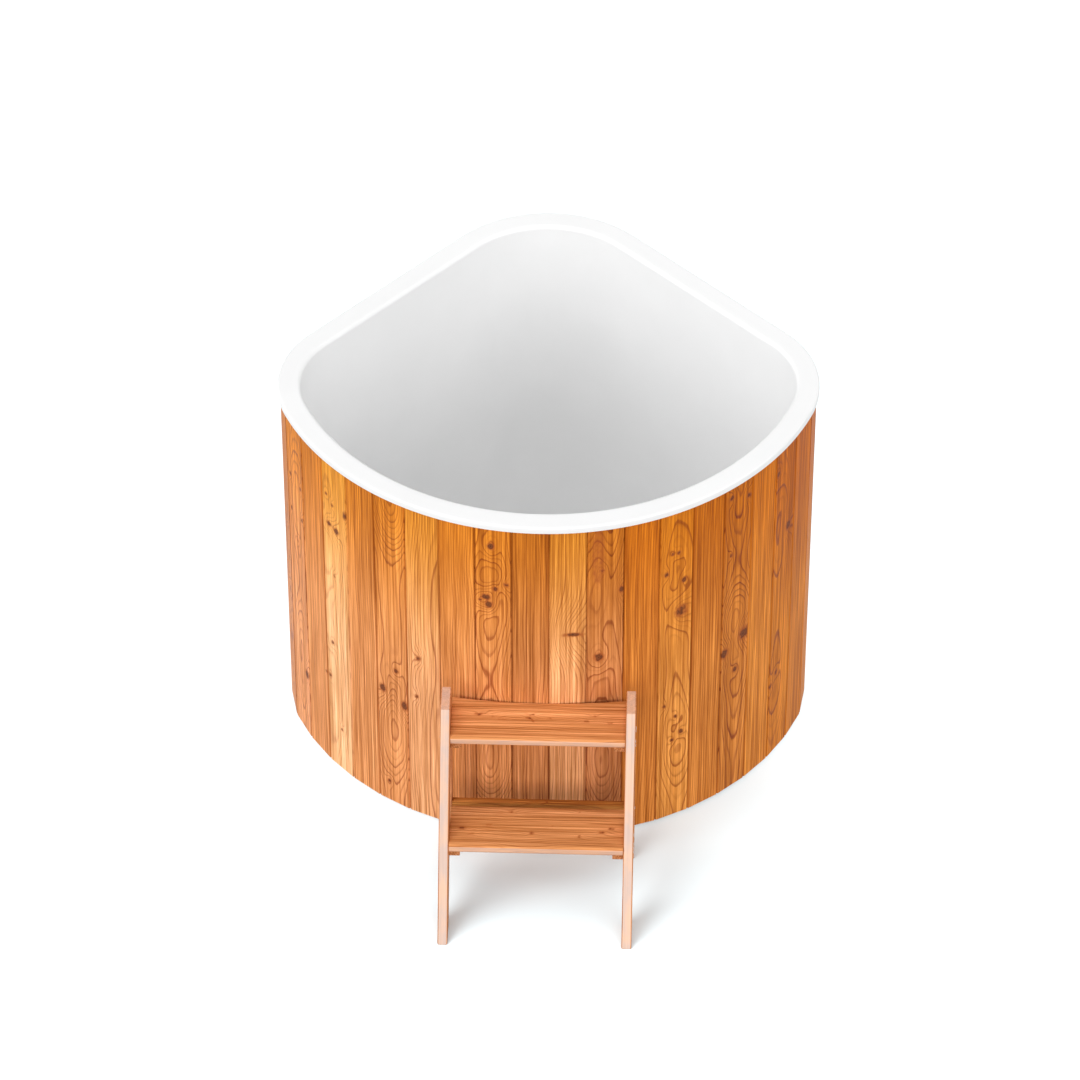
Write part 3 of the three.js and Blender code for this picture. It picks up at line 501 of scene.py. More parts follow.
# %% Board blanks
SHOW_AREA = 0.05
UPRIGHT = 0.01
LEAST_WIDTH = 0.05
ON_FACE = 0.0001
LEVEL = 0.000001
WHOLE_LENGTH = 0.5
ONE_CUT = 0.012
FLAT = math.radians(1)
STRIPS = 28
FIRST_CUTS = 48
SECOND_CUTS = 3
NOTCH_TOP = 0.06
MIDDLE_Y = -0.1


def copy_of(node, name):
    """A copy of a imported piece, with its triangles merged and its flat faces made whole."""
    piece = bpy.data.objects.new(name, nodes[node].data.copy())
    scene.collection.objects.link(piece)
    piece.data.materials.clear()
    enter(piece)
    bpy.ops.mesh.customdata_custom_splitnormals_clear()
    bpy.ops.mesh.select_all(action="SELECT")
    bpy.ops.mesh.remove_doubles(threshold=CLOSE)
    bpy.ops.mesh.dissolve_limited(angle_limit=FLAT)
    leave()
    return piece


def show_faces(piece):
    """Middle and direction of each board face that looks out of the drum."""
    found = []
    for face in piece.data.polygons:
        out = Vector((face.center.x, face.center.y - MIDDLE_Y, 0))
        if face.area > SHOW_AREA and abs(face.normal.z) < UPRIGHT and face.normal.dot(out) > 0:
            found.append((face.center.copy(), face.normal.copy()))
    return found


def rule_board(piece, faces):
    def crosswise(edge):
        first, second = ends(piece, edge)
        if abs(first.z - second.z) > LEVEL or (first - second).length < LEAST_WIDTH:
            return False
        centre = (first + second) / 2
        return any(abs((centre - middle).dot(out)) < ON_FACE for middle, out in faces)

    def lengthwise(least):
        def rule(edge):
            first, second = ends(piece, edge)
            return (first - second).to_2d().length < LEVEL and (first - second).length > least
        return rule

    pick(piece, "edges", crosswise)
    bpy.ops.mesh.subdivide(number_cuts=STRIPS)
    leave()
    pick(piece, "edges", lengthwise(WHOLE_LENGTH))
    bpy.ops.mesh.subdivide(number_cuts=FIRST_CUTS)
    leave()
    pick(piece, "edges", lengthwise(ONE_CUT))
    bpy.ops.mesh.subdivide(number_cuts=SECOND_CUTS)
    leave()


cladding = {}
board_nodes = [name for name in nodes if name.startswith("board_")]
panel_nodes = ["rear_right_panel", "rear_left_panel", "rear_corner_panel"]
for node in board_nodes + panel_nodes:
    piece = copy_of(node, node.replace("board", "cladding").replace("panel", "cladding"))
    if node == "rear_corner_panel":
        enter(piece)
        bpy.ops.mesh.select_all(action="SELECT")
        bpy.ops.mesh.bisect(plane_co=(0, 0, NOTCH_TOP), plane_no=(0, 0, 1))
        leave()
    faces = show_faces(piece)
    rule_board(piece, faces)
    cladding[node] = (piece, faces)
print("boards:", sum(len(faces) for _, faces in cladding.values()))
print("faces on one board:", len(cladding["board_right_01"][0].data.polygons))

# %% [markdown]
# ## Rings and knots
# All sizes in this cell are millimetres on the board: across from its middle, and up from the ground.
# A cut names where the pith runs, as its distance to the side and its depth behind the face at five
# heights. A knot is a place, a radius and how much taller than wide it is, and a fifth number, where
# there is one, keeps it to a stain. Near a knot the rings swell round it, as the trunk grows round a
# branch.

# %% Growing a board
MM = 1000
BOARD_LENGTH = 1000
SLANT = 0.008
WANDER = 3
RING_WAVES = ((0.34, 90, 420), (0.10, 30, 420))
SWELL = 1.5
SWELL_ACROSS = 2.2
SWELL_ALONG = 3.4
LEAST_KNOT = 2.4
FULL_KNOT = 9.0
# Painted light on the boards: paler near the ground for bounce from the floor, deeper and golden under
# the rim for shade.
PALE_BELOW = 0.35
PAINTED_BOUNCE_LOW = (1.07, 1.20, 1.82, 1)
PAINTED_SHADE_HIGH = (0.90, 0.78, 0.28, 1)


def waves(rng, u, w, across_size, along_size, count=6):
    total = np.zeros_like(u)
    for _ in range(count):
        turn_u, turn_w = rng.normal(size=2)
        start = rng.uniform(0, 2 * math.pi)
        total += np.sin(2 * math.pi * (turn_u * u / across_size + turn_w * w / along_size) + start)
    return total / math.sqrt(count)


def eased(levels, w, length):
    """A value that runs smoothly through five levels along the board."""
    levels = np.asarray(levels, float)
    step = np.clip(w / length, 0, 0.9999) * (len(levels) - 1)
    low = step.astype(int)
    share = (1 - np.cos(math.pi * (step - low))) / 2
    return levels[low] * (1 - share) + levels[low + 1] * share


def grow_rings(cut, knots, rng, u, v, w, length):
    side, depths, pitch = cut
    slant = rng.normal() * SLANT
    drift = waves(rng, np.zeros_like(w), w, 1, 0.7 * length, 4)
    pith_u = side + slant * (w - length / 2) + WANDER * drift
    pith_v = eased(depths, w, length)
    count = np.hypot(u - pith_u, v - pith_v) / pitch
    for height, across_size, along_size in RING_WAVES:
        count += height * waves(rng, u, w, across_size, along_size)
    knot = np.full_like(u, -1.0)
    for knot_u, knot_w, radius, stretch, *most in knots:
        du, dw = u - knot_u, w - knot_w
        wide, tall = SWELL_ACROSS * radius, SWELL_ALONG * radius * max(stretch, 1)
        swell = np.exp(-(du / wide) ** 2 - (dw / tall) ** 2)
        count += SWELL * radius / pitch * swell
        heart = min([(radius - LEAST_KNOT) / (FULL_KNOT - LEAST_KNOT), 1, *most])
        knot = np.maximum(knot, np.minimum(1 - np.hypot(du, dw / stretch) / radius, heart))
    return count, knot


def store(mesh, name, kind, values):
    field = {"FLOAT": "value", "FLOAT_VECTOR": "vector", "FLOAT_COLOR": "color"}[kind]
    layer = mesh.attributes.new(name, kind, "CORNER")
    layer.data.foreach_set(field, np.ascontiguousarray(values, np.float32).ravel())


def read(group, field, width):
    values = np.empty(len(group) * width)
    group.foreach_get(field, values)
    return values.reshape(-1, width) if width > 1 else values


def painted_height_light(w, length):
    """Painted light along a board: paler near the ground as painted floor bounce, deeper and golden
    under the rim as painted shade.
    """
    share = np.clip((w / length - PALE_BELOW) / (1 - PALE_BELOW), 0, 1)[:, None]
    share = share * share * (3 - 2 * share)
    return np.array(PAINTED_BOUNCE_LOW) * (1 - share) + np.array(PAINTED_SHADE_HIGH) * share


def grow(piece, logs, length=BOARD_LENGTH, tint=painted_height_light):
    """Stores rings, knots, grain directions and tone on every corner of a piece of wood.
    Each log is (origin, across, depth, along), its cut, knots, tone and seed."""
    mesh = piece.data
    places = read(mesh.vertices, "co", 3)[read(mesh.loops, "vertex_index", 1).astype(int)]
    sizes = read(mesh.polygons, "loop_total", 1).astype(int)
    middles = read(mesh.polygons, "center", 3)
    reach = [np.abs((middles - np.array(log[0][0])) @ np.array(log[0][1])) for log in logs]
    owner = np.repeat(np.argmin(reach, axis=0), sizes)
    ring, knot = np.empty(len(places)), np.empty(len(places))
    grain, tone = np.empty((len(places), 3)), np.empty((len(places), 4))
    for number, (axes, cut, knots, colour, seed) in enumerate(logs):
        mine = owner == number
        local = (places[mine] - np.array(axes[0])) @ np.array(axes[1:]).T * MM
        rng = np.random.default_rng(seed)
        ring[mine], knot[mine] = grow_rings(cut, knots, rng, *local.T, length)
        grain[mine] = local / MM + rng.uniform(0, 20, 3)
        tone[mine] = np.array(colour) * tint(local[:, 2], length)
    store(mesh, "ring", "FLOAT", ring)
    store(mesh, "knot", "FLOAT", knot)
    store(mesh, "grain", "FLOAT_VECTOR", grain)
    store(mesh, "tone", "FLOAT_COLOR", tone)


# %% [markdown]
# The boards in front follow the photograph: which are plain and straight, which show flames, and where
# their knots sit. A few named tones cover them all. The boards round the back, which the photograph
# doesn't show, are drawn at random from the same stock, always with the same seeds.

# %% Which board is which
TONES = {
    "amber": (0.98, 0.98, 1.08, 0.85),
    "honey": (1.28, 1.66, 2.45, 0.8),
    "straw": (1.04, 1.20, 1.60, 0.9),
    "blush": (1.07, 1.12, 1.45, 0.8),
    "golden": (0.96, 0.90, 0.55, 0.85),
    "chestnut": (0.83, 0.80, 0.92, 0.9),
    "russet": (0.84, 0.70, 0.39, 1.0),
    "ginger": (0.97, 0.83, 0.40, 1.0),
    "copper": (0.84, 0.65, 0.21, 1.0),
    "umber": (0.75, 0.70, 0.72, 1.0),
}
STRAIGHT = (210, (70, 75, 80, 75, 70), 6.2)
STRIPED = (-180, (60, 60, 60, 60, 60), 7.0)
STRAIGHT_CONTRAST = 0.8
STRAIGHT_SHARE = 0.5
BEVEL_FACING = (0.3, 0.95)
FIRST_SEED = 100


def flame(*depths, side=0, pitch=3.8):
    return (side, depths, pitch)


FRONT_BOARDS = {
    "left_09": (flame(56, 40, 60, 46, 66, side=6), "blush",
                [(-26, 806, 5, 1.3), (29, 801, 5, 1.2), (-26, 699, 5, 1.4), (32, 704, 5, 1.2),
                 (4, 619, 4, 1.2), (29, 204, 9, 1.5)]),
    "left_08": (STRAIGHT, "amber", [(38, 294, 4, 1.2)]),
    "left_07": (flame(86, 76, 88, 81, 90, side=-30), "honey",
                [(-27, 877, 4, 1.2), (-7, 854, 4.5, 1.2), (37, 851, 6, 2.0), (-20, 789, 8, 0.9),
                 (6, 781, 8, 1.3), (-6, 632, 4, 1.3), (-21, 409, 5, 1.2), (-34, 294, 5, 1.4),
                 (5, 139, 4, 1.2)]),
    "left_06": (STRAIGHT, "amber", []),
    "left_05": (flame(62, 40, 70, 68, 32), "amber",
                [(11, 446, 7, 1.2), (-27, 372, 9, 1.5), (33, 345, 9, 1.6), (-14, 71, 5, 1.2)]),
    "left_04": (flame(96, 92, 98, 94, 101, side=50), "straw",
                [(-13, 517, 6.5, 1.2), (-20, 392, 5, 1.3)]),
    "left_03": (STRAIGHT, "amber", []),
    "left_02": (flame(72, 36, 60, 46, 66, side=-8), "amber",
                [(-4, 927, 8, 1.3), (31, 814, 6.5, 1.1), (5, 797, 6.5, 1.1), (-16, 769, 11.5, 0.8),
                 (-9, 746, 9, 1.2), (-30, 758, 5, 0.8)]),
    "left_01": (STRIPED, "umber", []),
    "right_01": (STRIPED, "straw", [(12, 662, 23, 0.26)]),
    "right_02": (flame(64, 38, 60, 72, 48, side=-6), "chestnut",
                 [(-14, 582, 11.5, 1.2), (-7, 854, 5, 1.2), (37, 789, 6.5, 1.6),
                  (-17, 900, 11.5, 6.0, -0.1)]),
    "right_03": (STRAIGHT, "russet", []),
    "right_04": (flame(76, 56, 70, 62, 76, side=10), "golden",
                 [(5, 854, 5, 1.2), (-10, 856, 4, 1.2), (-25, 797, 6.5, 1.2), (20, 764, 6.5, 1.3),
                  (15, 669, 15.5, 1.1, 0.3), (-25, 376, 5, 1.2), (5, 332, 5, 1.3), (20, 277, 6.5, 1.2),
                  (-3, 257, 5, 1.2)]),
    "right_05": (STRAIGHT, "russet", []),
    "right_06": (flame(66, 56, 34, 68, 54, side=2), "russet",
                 [(-22, 949, 6.5, 1.3), (31, 926, 6.5, 1.2), (-19, 769, 5, 1.2), (-32, 464, 11.5, 1.3),
                  (28, 494, 15.5, 1.2), (3, 392, 8, 1.3)]),
    "right_07": (STRAIGHT, "ginger", []),
    "right_08": (flame(84, 70, 78, 66, 82, side=-18), "copper",
                 [(-33, 916, 6.5, 1.2), (18, 719, 11.5, 1.2), (-13, 269, 6.5, 1.2),
                  (-36, 239, 6.5, 1.3)]),
    "right_09": (STRAIGHT, "copper", []),
}


def drawn_board(seed):
    """A board from the same stock, for the sides that the photograph doesn't show."""
    rng = np.random.default_rng(seed)
    tone = rng.choice(list(TONES))
    if rng.random() < STRAIGHT_SHARE:
        return STRAIGHT, tone, []
    knots = []
    for _ in range(rng.integers(1, 6)):
        place = (rng.uniform(-36, 36), rng.uniform(60, 940))
        knots.append((*place, rng.uniform(3, 8), rng.uniform(1.1, 1.5)))
    return flame(*rng.uniform(36, 81, 5), side=rng.uniform(-15, 15)), tone, knots


def mark_shaded_grooves(piece, faces):
    """Marks the bevelled edges of the boards, which the finish darkens as painted shade in the grooves.
    """
    normals = read(piece.data.polygons, "normal", 3)
    facing = np.max([normals @ np.array(out) for _, out in faces], axis=0)
    sizes = read(piece.data.polygons, "loop_total", 1).astype(int)
    least, most = BEVEL_FACING
    store(piece.data, "joint", "FLOAT", np.repeat((facing > least) & (facing < most), sizes))


seed = FIRST_SEED
for node, (piece, faces) in cladding.items():
    logs = []
    for middle, out in faces:
        seed += 1
        short = node.replace("board_", "")
        cut, tone, knots = FRONT_BOARDS.get(short) or drawn_board(seed)
        axes = ((middle.x, middle.y, 0), (-out.y, out.x, 0), tuple(-out), (0, 0, 1))
        *tint, contrast = TONES[tone]
        contrast *= STRAIGHT_CONTRAST if cut is STRAIGHT else 1
        logs.append((axes, cut, knots, (*tint, contrast), seed))
    grow(piece, logs)
    mark_shaded_grooves(piece, faces)
print("boards that follow the photograph:", len(FRONT_BOARDS))

# %% [markdown]
# ## The wood finish
# Each ring starts pale and soft and ends in a narrow dark line, and then starts again at once. So the
# ring count is cut to its fraction and shaped by a ramp. No two rings are alike: a random number for
# each whole ring sets how dark it is. Fibres are four layers of noise, pulled long along the grain. A
# dark fibre is also a redder one, so each layer tints red, green and blue by different amounts. Knots
# have a dark rim and a brown heart. Dark lines are a little smoother and stand a hair lower.

# %% Wood finish
LINE_SHAPE = [(0.0, grey(0.10)), (0.08, grey(0.0)), (0.52, grey(0.06)), (0.70, grey(0.34)),
              (0.82, grey(1.0)), (0.94, grey(0.9)), (1.0, grey(0.2))]
KNOT_SHOWN = [(0.0, grey(0)), (0.28, grey(0.06)), (0.46, grey(0.45)), (0.60, grey(0.80)),
              (0.72, grey(0.95))]
KNOT_COLOUR = [(0.2, (0.44, 0.115, 0.024)), (0.56, (0.31, 0.068, 0.017)),
               (0.70, (0.10, 0.026, 0.010)), (0.82, (0.19, 0.050, 0.016)),
               (0.97, (0.035, 0.014, 0.009))]
FIBRE_TINTS = [((0.62, 0.51, 0.38), (1.30, 1.42, 1.66)), ((0.84, 0.80, 0.75), (1.14, 1.18, 1.25)),
               ((0.80, 0.74, 0.64), (1.16, 1.24, 1.40)), ((0.92, 0.90, 0.87), (1.07, 1.09, 1.13))]
NOISE_MIDDLE = (0.33, 0.67)
RAGGED_RINGS = 0.30
RAGGED_KNOTS = (0.6, 1.1)
FAINTEST_RING = 0.20
# Painted shade: the bevels at the board joints are darkened as if in the shadow of the grooves.
GROOVE_SHADE_TINT = (0.76, 0.68, 0.60, 1)
LINE_POLISH = 0.12


def spread_from(tree, value, start, stop, low=0.0, high=1.0):
    inputs = {"Value": value, "From Min": start, "From Max": stop, "To Min": low, "To Max": high}
    return add(tree, "MapRange", inputs).outputs["Result"]


def spread_from_middle(tree, value, low, high):
    """Noise keeps close to its middle, so its middle third is stretched over the whole spread."""
    return spread_from(tree, value, *NOISE_MIDDLE, low, high)


def wood_finish(name, early, late, pale, worn, roughness):
    finish, tree, shader = new_finish(name, {"Specular IOR Level": 0.08})

    def layer(name, output="Fac"):
        return add(tree, "Attribute", {}, attribute_name=name).outputs[output]

    def noise(stretch, scale, detail, roughness=0.5):
        along = {"Vector": layer("grain", "Vector"), "Scale": (1, 1, stretch)}
        place = add(tree, "Mapping", along).outputs["Vector"]
        inputs = {"Vector": place, "Scale": scale, "Detail": detail, "Roughness": roughness}
        return add(tree, "TexNoise", inputs).outputs["Fac"]

    def shifted(value, by, amount):
        return sums(tree, "MULTIPLY_ADD", sums(tree, "SUBTRACT", by, 0.5), amount, value)

    fibre = noise(0.015, 240.0, 5.0, 0.70)
    hair = noise(0.008, 560.0, 2.0)
    streak = noise(0.013, 130.0, 4.0)
    cloud = noise(0.2, 14.0, 2.0)
    lump = noise(0.6, 130.0, 3.0)

    count = shifted(layer("ring"), fibre, RAGGED_RINGS)
    line = ramp(tree, sums(tree, "FRACT", count), LINE_SHAPE)
    whole = {"W": sums(tree, "FLOOR", count)}
    chance = add(tree, "TexWhiteNoise", whole, noise_dimensions="1D").outputs["Value"]
    dark = sums(tree, "MULTIPLY", line, spread(tree, chance, FAINTEST_RING, 1.0))
    dark = sums(tree, "MULTIPLY", dark, layer("tone", "Alpha"))
    colour = mixed(tree, dark, (*early, 1), (*late, 1))
    for fine, (deep, light) in zip((fibre, hair, streak, cloud), FIBRE_TINTS):
        tint = mixed(tree, spread_from_middle(tree, fine, 0.0, 1.0), (*deep, 1), (*light, 1))
        colour = mixed(tree, 1.0, colour, tint, "MULTIPLY")
    colour = mixed(tree, 1.0, colour, layer("tone", "Color"), "MULTIPLY")

    by_fibre, by_lump = RAGGED_KNOTS
    ragged = shifted(shifted(layer("knot"), fibre, by_fibre), lump, by_lump)
    ragged = spread_from(tree, ragged, -1.0, 1.0)
    colour = mixed(tree, ramp(tree, ragged, KNOT_SHOWN), colour, ramp(tree, ragged, KNOT_COLOUR))
    # Painted shade in the grooves: the marked bevels are darkened.
    groove_shaded = mixed(tree, 1.0, colour, GROOVE_SHADE_TINT, "MULTIPLY")
    colour = mixed(tree, layer("joint"), colour, groove_shaded)
    # The planed faces of the ladder are painted pale in soft patches: partly paler planed wood, partly a
    # painted highlight.
    patches = spread_from(tree, noise(0.5, 34.0, 3.0), 0.40, 0.62)
    planed_highlight_colour = mixed(tree, patches, (*pale, 1), (*worn, 1))
    planed_highlight_colour = mixed(tree, 1.0, planed_highlight_colour, spread_from_middle(tree, fibre, 0.92, 1.07), "MULTIPLY")
    colour = mixed(tree, layer("planed"), colour, planed_highlight_colour)
    polish = spread(tree, dark, roughness, roughness - LINE_POLISH)
    wire(tree, shader, {"Base Color": colour, "Roughness": polish})
    bump(tree, shader, sums(tree, "SUBTRACT", fibre, dark), strength=0.25, depth=0.0006)
    return finish


oiled = wood_finish("oiled_cladding", early=(0.74, 0.262, 0.050), late=(0.30, 0.060, 0.009),
                    pale=(0.8, 0.5, 0.3), worn=(0.6, 0.4, 0.3), roughness=0.55)
for node, (piece, _) in cladding.items():
    piece.data.materials.append(oiled)
    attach(piece, "tub")
    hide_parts(node)
print("cladding corners:", sum(len(piece.data.loops) for piece, _ in cladding.values()))

# %% [markdown]
# ## The ladder
# Two sloping sides, two upright legs behind them, two treads and the cleats under them, all planed from
# the same wood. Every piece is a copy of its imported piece: sharp edges are eased with a small bevel,
# then the piece is sliced across its length and width so that it can carry rings. The ladder stands
# turned by two degrees, so its own directions come first.

# %% Ladder directions and helpers
LADDER_TURN = Matrix.Rotation(math.radians(-2), 3, "Z")
LADDER_SLOPE = math.radians(62.5)
WALL_REACH = 0.651
SHARP = math.radians(50)
PLANED_HIGHLIGHT_FROM = 0.86
PLANED_HIGHLIGHT_SPAN = 0.1
SIDEWAYS = LADDER_TURN @ Vector((1, 0, 0))
FORWARD = LADDER_TURN @ Vector((0, -1, 0))
UPWARD = Vector((0, 0, 1))
CLIMB = (UPWARD * math.sin(LADDER_SLOPE) - FORWARD * math.cos(LADDER_SLOPE)).normalized()
SLOPE_FRONT = (UPWARD * math.cos(LADDER_SLOPE) + FORWARD * math.sin(LADDER_SLOPE)).normalized()


def ease_edges(piece, width, steps=2):
    """Bevels every edge where two faces meet at a clear angle."""
    enter(piece)
    bpy.ops.mesh.select_all(action="DESELECT")
    bpy.context.tool_settings.mesh_select_mode = [False, True, False]
    bpy.ops.mesh.edges_select_sharp(sharpness=SHARP)
    bpy.ops.mesh.bevel(offset=width, segments=steps, profile=0.5)
    leave()


def slices(piece, direction, spacing):
    """Cuts the piece into slices across a direction, at most a spacing apart."""
    heights = read(piece.data.vertices, "co", 3) @ np.array(direction)
    count = int((heights.max() - heights.min()) / spacing) + 1
    enter(piece)
    for height in np.linspace(heights.min(), heights.max(), count + 1)[1:-1]:
        bpy.ops.mesh.select_all(action="SELECT")
        bpy.ops.mesh.bisect(plane_co=Vector(direction) * height, plane_no=direction)
    leave()


def mark_planed_highlight(piece, planed):
    """Marks the faces that look straight along a direction as planed wood with a painted highlight, each
    with how pale it is.
    """
    normals = read(piece.data.polygons, "normal", 3)
    marks = []
    for way, share in planed:
        facing = normals @ np.array(way)
        marks.append(share * np.clip((facing - PLANED_HIGHLIGHT_FROM) / PLANED_HIGHLIGHT_SPAN, 0, 1))
    sizes = read(piece.data.polygons, "loop_total", 1).astype(int)
    store(piece.data, "planed", "FLOAT", np.repeat(np.max(marks, axis=0), sizes))


# %% [markdown]
# Now each piece is planed and grown. Its grain runs along its length: up the sides and legs, across
# the width in the treads, from front to back in the cleats. The treads carry the small dark knots of
# the photograph. Their rounded noses, and the front edges and top ends of the sides, are paler than
# the rest: partly paler planed wood and partly a painted highlight.

# %% Ladder pieces
LADDER_TONES = {
    "tread": (1.02, 1.01, 0.90, 0.9),
    "back": (0.97, 0.96, 0.88, 0.9),
    # The slat is toned darker as painted shade, for where it sits under the lower tread.
    "slat": (0.80, 0.74, 0.40, 0.9),
    "side": (0.92, 0.92, 0.95, 0.7),
    "hidden": (0.90, 0.88, 0.86, 0.8),
}
TREAD_AXES = (SIDEWAYS, FORWARD)
# The sloping fronts and top ends of the sides and the noses of the treads are painted paler: partly
# planed wood, partly a painted highlight.
SIDE_PLANED_HIGHLIGHT = [(SLOPE_FRONT, 1.0), (UPWARD, 0.7)]
NOSE_PLANED_HIGHLIGHT = [(FORWARD, 0.6)]
LADDER_EASE = 0.0012
SLICE_ALONG = 0.008
SLICE_ACROSS = 0.006
LADDER_PITH = 150
LADDER_DEPTHS = (60, 66, 56, 64, 60)
LADDER_PITCH = 5.4
LADDER_SEED = 300
SPECKS = [(0, 60, 2, 1.2), (6, 150, 1.6, 1.2), (-5, 330, 2, 1.2), (3, 410, 1.8, 1.2),
          (-4, 500, 2.4, 1.1)]
LADDER_PIECES = {
    "ladder_stringer_left": (CLIMB, SLOPE_FRONT, SIDE_PLANED_HIGHLIGHT, "side", SPECKS),
    "ladder_stringer_right": (CLIMB, SLOPE_FRONT, SIDE_PLANED_HIGHLIGHT, "side", SPECKS[1:]),
    "ladder_rear_leg_left": (UPWARD, FORWARD, [], "side", []),
    "ladder_rear_leg_right": (UPWARD, FORWARD, [], "side", []),
    "ladder_upper_tread": (*TREAD_AXES, NOSE_PLANED_HIGHLIGHT, "tread",
                           [(-12, 62, 4, 1.8), (-16, 74, 3, 1.6), (-6, 96, 2.5, 2.0), (2, 118, 3, 2.5),
                            (-4, 178, 5, 1.1), (-14, 186, 4, 1.2), (6, 190, 3, 1.3), (-2, 226, 3, 1.5),
                            (4, 312, 4, 1.4), (-14, 330, 4, 1.3), (10, 366, 3, 1.6)]),
    "ladder_lower_tread_front": (*TREAD_AXES, NOSE_PLANED_HIGHLIGHT, "tread",
                                 [(-8, 30, 5, 1.6), (8, 52, 3, 1.5), (-18, 90, 3, 2.0),
                                  (4, 190, 5, 1.2), (-20, 236, 3, 1.6), (12, 300, 4, 1.3),
                                  (-4, 352, 5, 1.3), (-16, 372, 4, 1.5)]),
    "ladder_lower_tread_back": (*TREAD_AXES, [], "back", [(2, 140, 4, 1.3), (-4, 300, 3, 1.4)]),
    "ladder_rear_slat": (*TREAD_AXES, [], "slat", [(0, 220, 3, 1.4)]),
}
for step in ("lower", "upper"):
    for side in ("left", "right"):
        LADDER_PIECES[f"ladder_{step}_cleat_{side}"] = (FORWARD, SIDEWAYS, [], "hidden", [])


def even(w, length):
    """No change of tint along the piece."""
    return np.ones((len(w), 4))


ladder_wood = wood_finish("ladder_wood", early=(0.66, 0.262, 0.092), late=(0.34, 0.100, 0.026),
                          pale=(0.71, 0.465, 0.335), worn=(0.60, 0.44, 0.37), roughness=0.5)
for seed, (node, making) in enumerate(LADDER_PIECES.items(), LADDER_SEED):
    along, width, planed, tone, knots = making
    piece = copy_of(node, node.replace("ladder", "step"))
    ease_edges(piece, LADDER_EASE)
    slices(piece, along, SLICE_ALONG)
    slices(piece, width, SLICE_ACROSS)
    depth = along.cross(width)
    low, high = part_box(node)
    middle = (low + high) / 2
    reach = read(piece.data.vertices, "co", 3) @ np.array(along)
    origin = middle + along * (reach.min() - middle.dot(along))
    length = (reach.max() - reach.min()) * MM
    pith = -LADDER_PITH if seed % 2 else LADDER_PITH
    log = ((origin, width, depth, along), (pith, LADDER_DEPTHS, LADDER_PITCH), knots,
           LADDER_TONES[tone], seed)
    grow(piece, [log], length, even)
    if planed:
        mark_planed_highlight(piece, planed)
    only(piece)
    bpy.ops.object.shade_smooth_by_angle(angle=SMOOTH_BELOW)
    piece.data.materials.append(ladder_wood)
    floor_blockers.objects.link(piece)
    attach(piece, "ladder")
    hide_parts(node)
print("ladder pieces:", len(LADDER_PIECES))

# %% [markdown]
# ## Screws
# The sides are screwed to the treads and cleats with steel screws. One screw head starts as a
# cylinder: its top is inset and raised a little, which leaves a sloping rim, and a cross is cut into
# it. The head is then copied to each place, with its own mesh, and the copies of a side are joined.

# %% One screw head
HEAD_RADIUS = 0.0042
HEAD_PROUD = 0.0005
HEAD_DEPTH = 0.003
HEAD_SIDES = 28
RIM_SLOPE = 0.0007
RIM_RISE = 0.0003
BLADE = (0.0046, 0.001, 0.0018)

bpy.ops.object.select_all(action="DESELECT")
bpy.ops.mesh.primitive_cylinder_add(vertices=HEAD_SIDES, radius=HEAD_RADIUS, depth=HEAD_DEPTH)
screw = bpy.context.object
screw.name = "screw_head"
pick(screw, "polygons", lambda face: face.normal.z > 0.9)
bpy.ops.mesh.inset(thickness=RIM_SLOPE)
bpy.ops.transform.translate(value=(0, 0, RIM_RISE))
leave()
for turn in (0, QUARTER):
    bpy.ops.object.select_all(action="DESELECT")
    bpy.ops.mesh.primitive_cube_add(size=1, location=(0, 0, HEAD_DEPTH / 2), rotation=(0, 0, turn))
    blade = bpy.context.object
    blade.scale = BLADE
    only(screw)
    slot_cut = screw.modifiers.new("slot", "BOOLEAN")
    slot_cut.object = blade
    slot_cut.operation = "DIFFERENCE"
    bpy.ops.object.modifier_apply(modifier=slot_cut.name)
    bpy.data.objects.remove(blade)
print("faces on a screw head:", len(screw.data.polygons))

# %% Place the screws on the ladder's sides
LADDER_HALF = 0.224
TURN_STEP = 0.7
SCREW_PLACES = [(0.070, 0.434), (0.104, 0.434), (0.092, 0.409), (0.036, 0.409), (0.184, 0.208),
                (0.226, 0.208), (0.190, 0.183), (0.214, 0.183), (0.055, 0.166)]


def screwed_side(name, sign):
    outward = Vector((sign, 0, 0)).to_track_quat("Z", "Y").to_matrix()
    copies = []
    for number, (reach, height) in enumerate(SCREW_PLACES):
        head = bpy.data.objects.new(name, screw.data.copy())
        scene.collection.objects.link(head)
        spot = SIDEWAYS * sign * (LADDER_HALF + HEAD_PROUD - HEAD_DEPTH / 2)
        spot = spot + FORWARD * (WALL_REACH + reach) + UPWARD * height
        lay = outward @ Matrix.Rotation(TURN_STEP * number, 3, "Z")
        head.matrix_world = Matrix.Translation(spot) @ (LADDER_TURN @ lay).to_4x4()
        copies.append(head)
    only(copies[0])
    for head in copies:
        head.select_set(True)
    bpy.ops.object.join()
    bpy.ops.object.transform_apply(location=True, rotation=True, scale=True)
    return bpy.context.object


steel, tree, shader = new_finish("brushed_steel", {"Metallic": 1.0})
place = add(tree, "TexCoord", {}).outputs["Object"]
scuff = add(tree, "TexNoise", {"Vector": place, "Scale": 900.0, "Detail": 3.0}).outputs["Fac"]
shade = ramp(tree, scuff, [(0.3, (0.50, 0.50, 0.51)), (0.7, (0.66, 0.66, 0.66))])
wire(tree, shader, {"Base Color": shade, "Roughness": spread(tree, scuff, 0.22, 0.42)})
for name, sign in (("screws_left", -1), ("screws_right", 1)):
    heads = screwed_side(name, sign)
    heads.name = name
    heads.data.materials.append(steel)
    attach(heads, "ladder")
bpy.data.objects.remove(screw)
print("screws:", 2 * len(SCREW_PLACES))

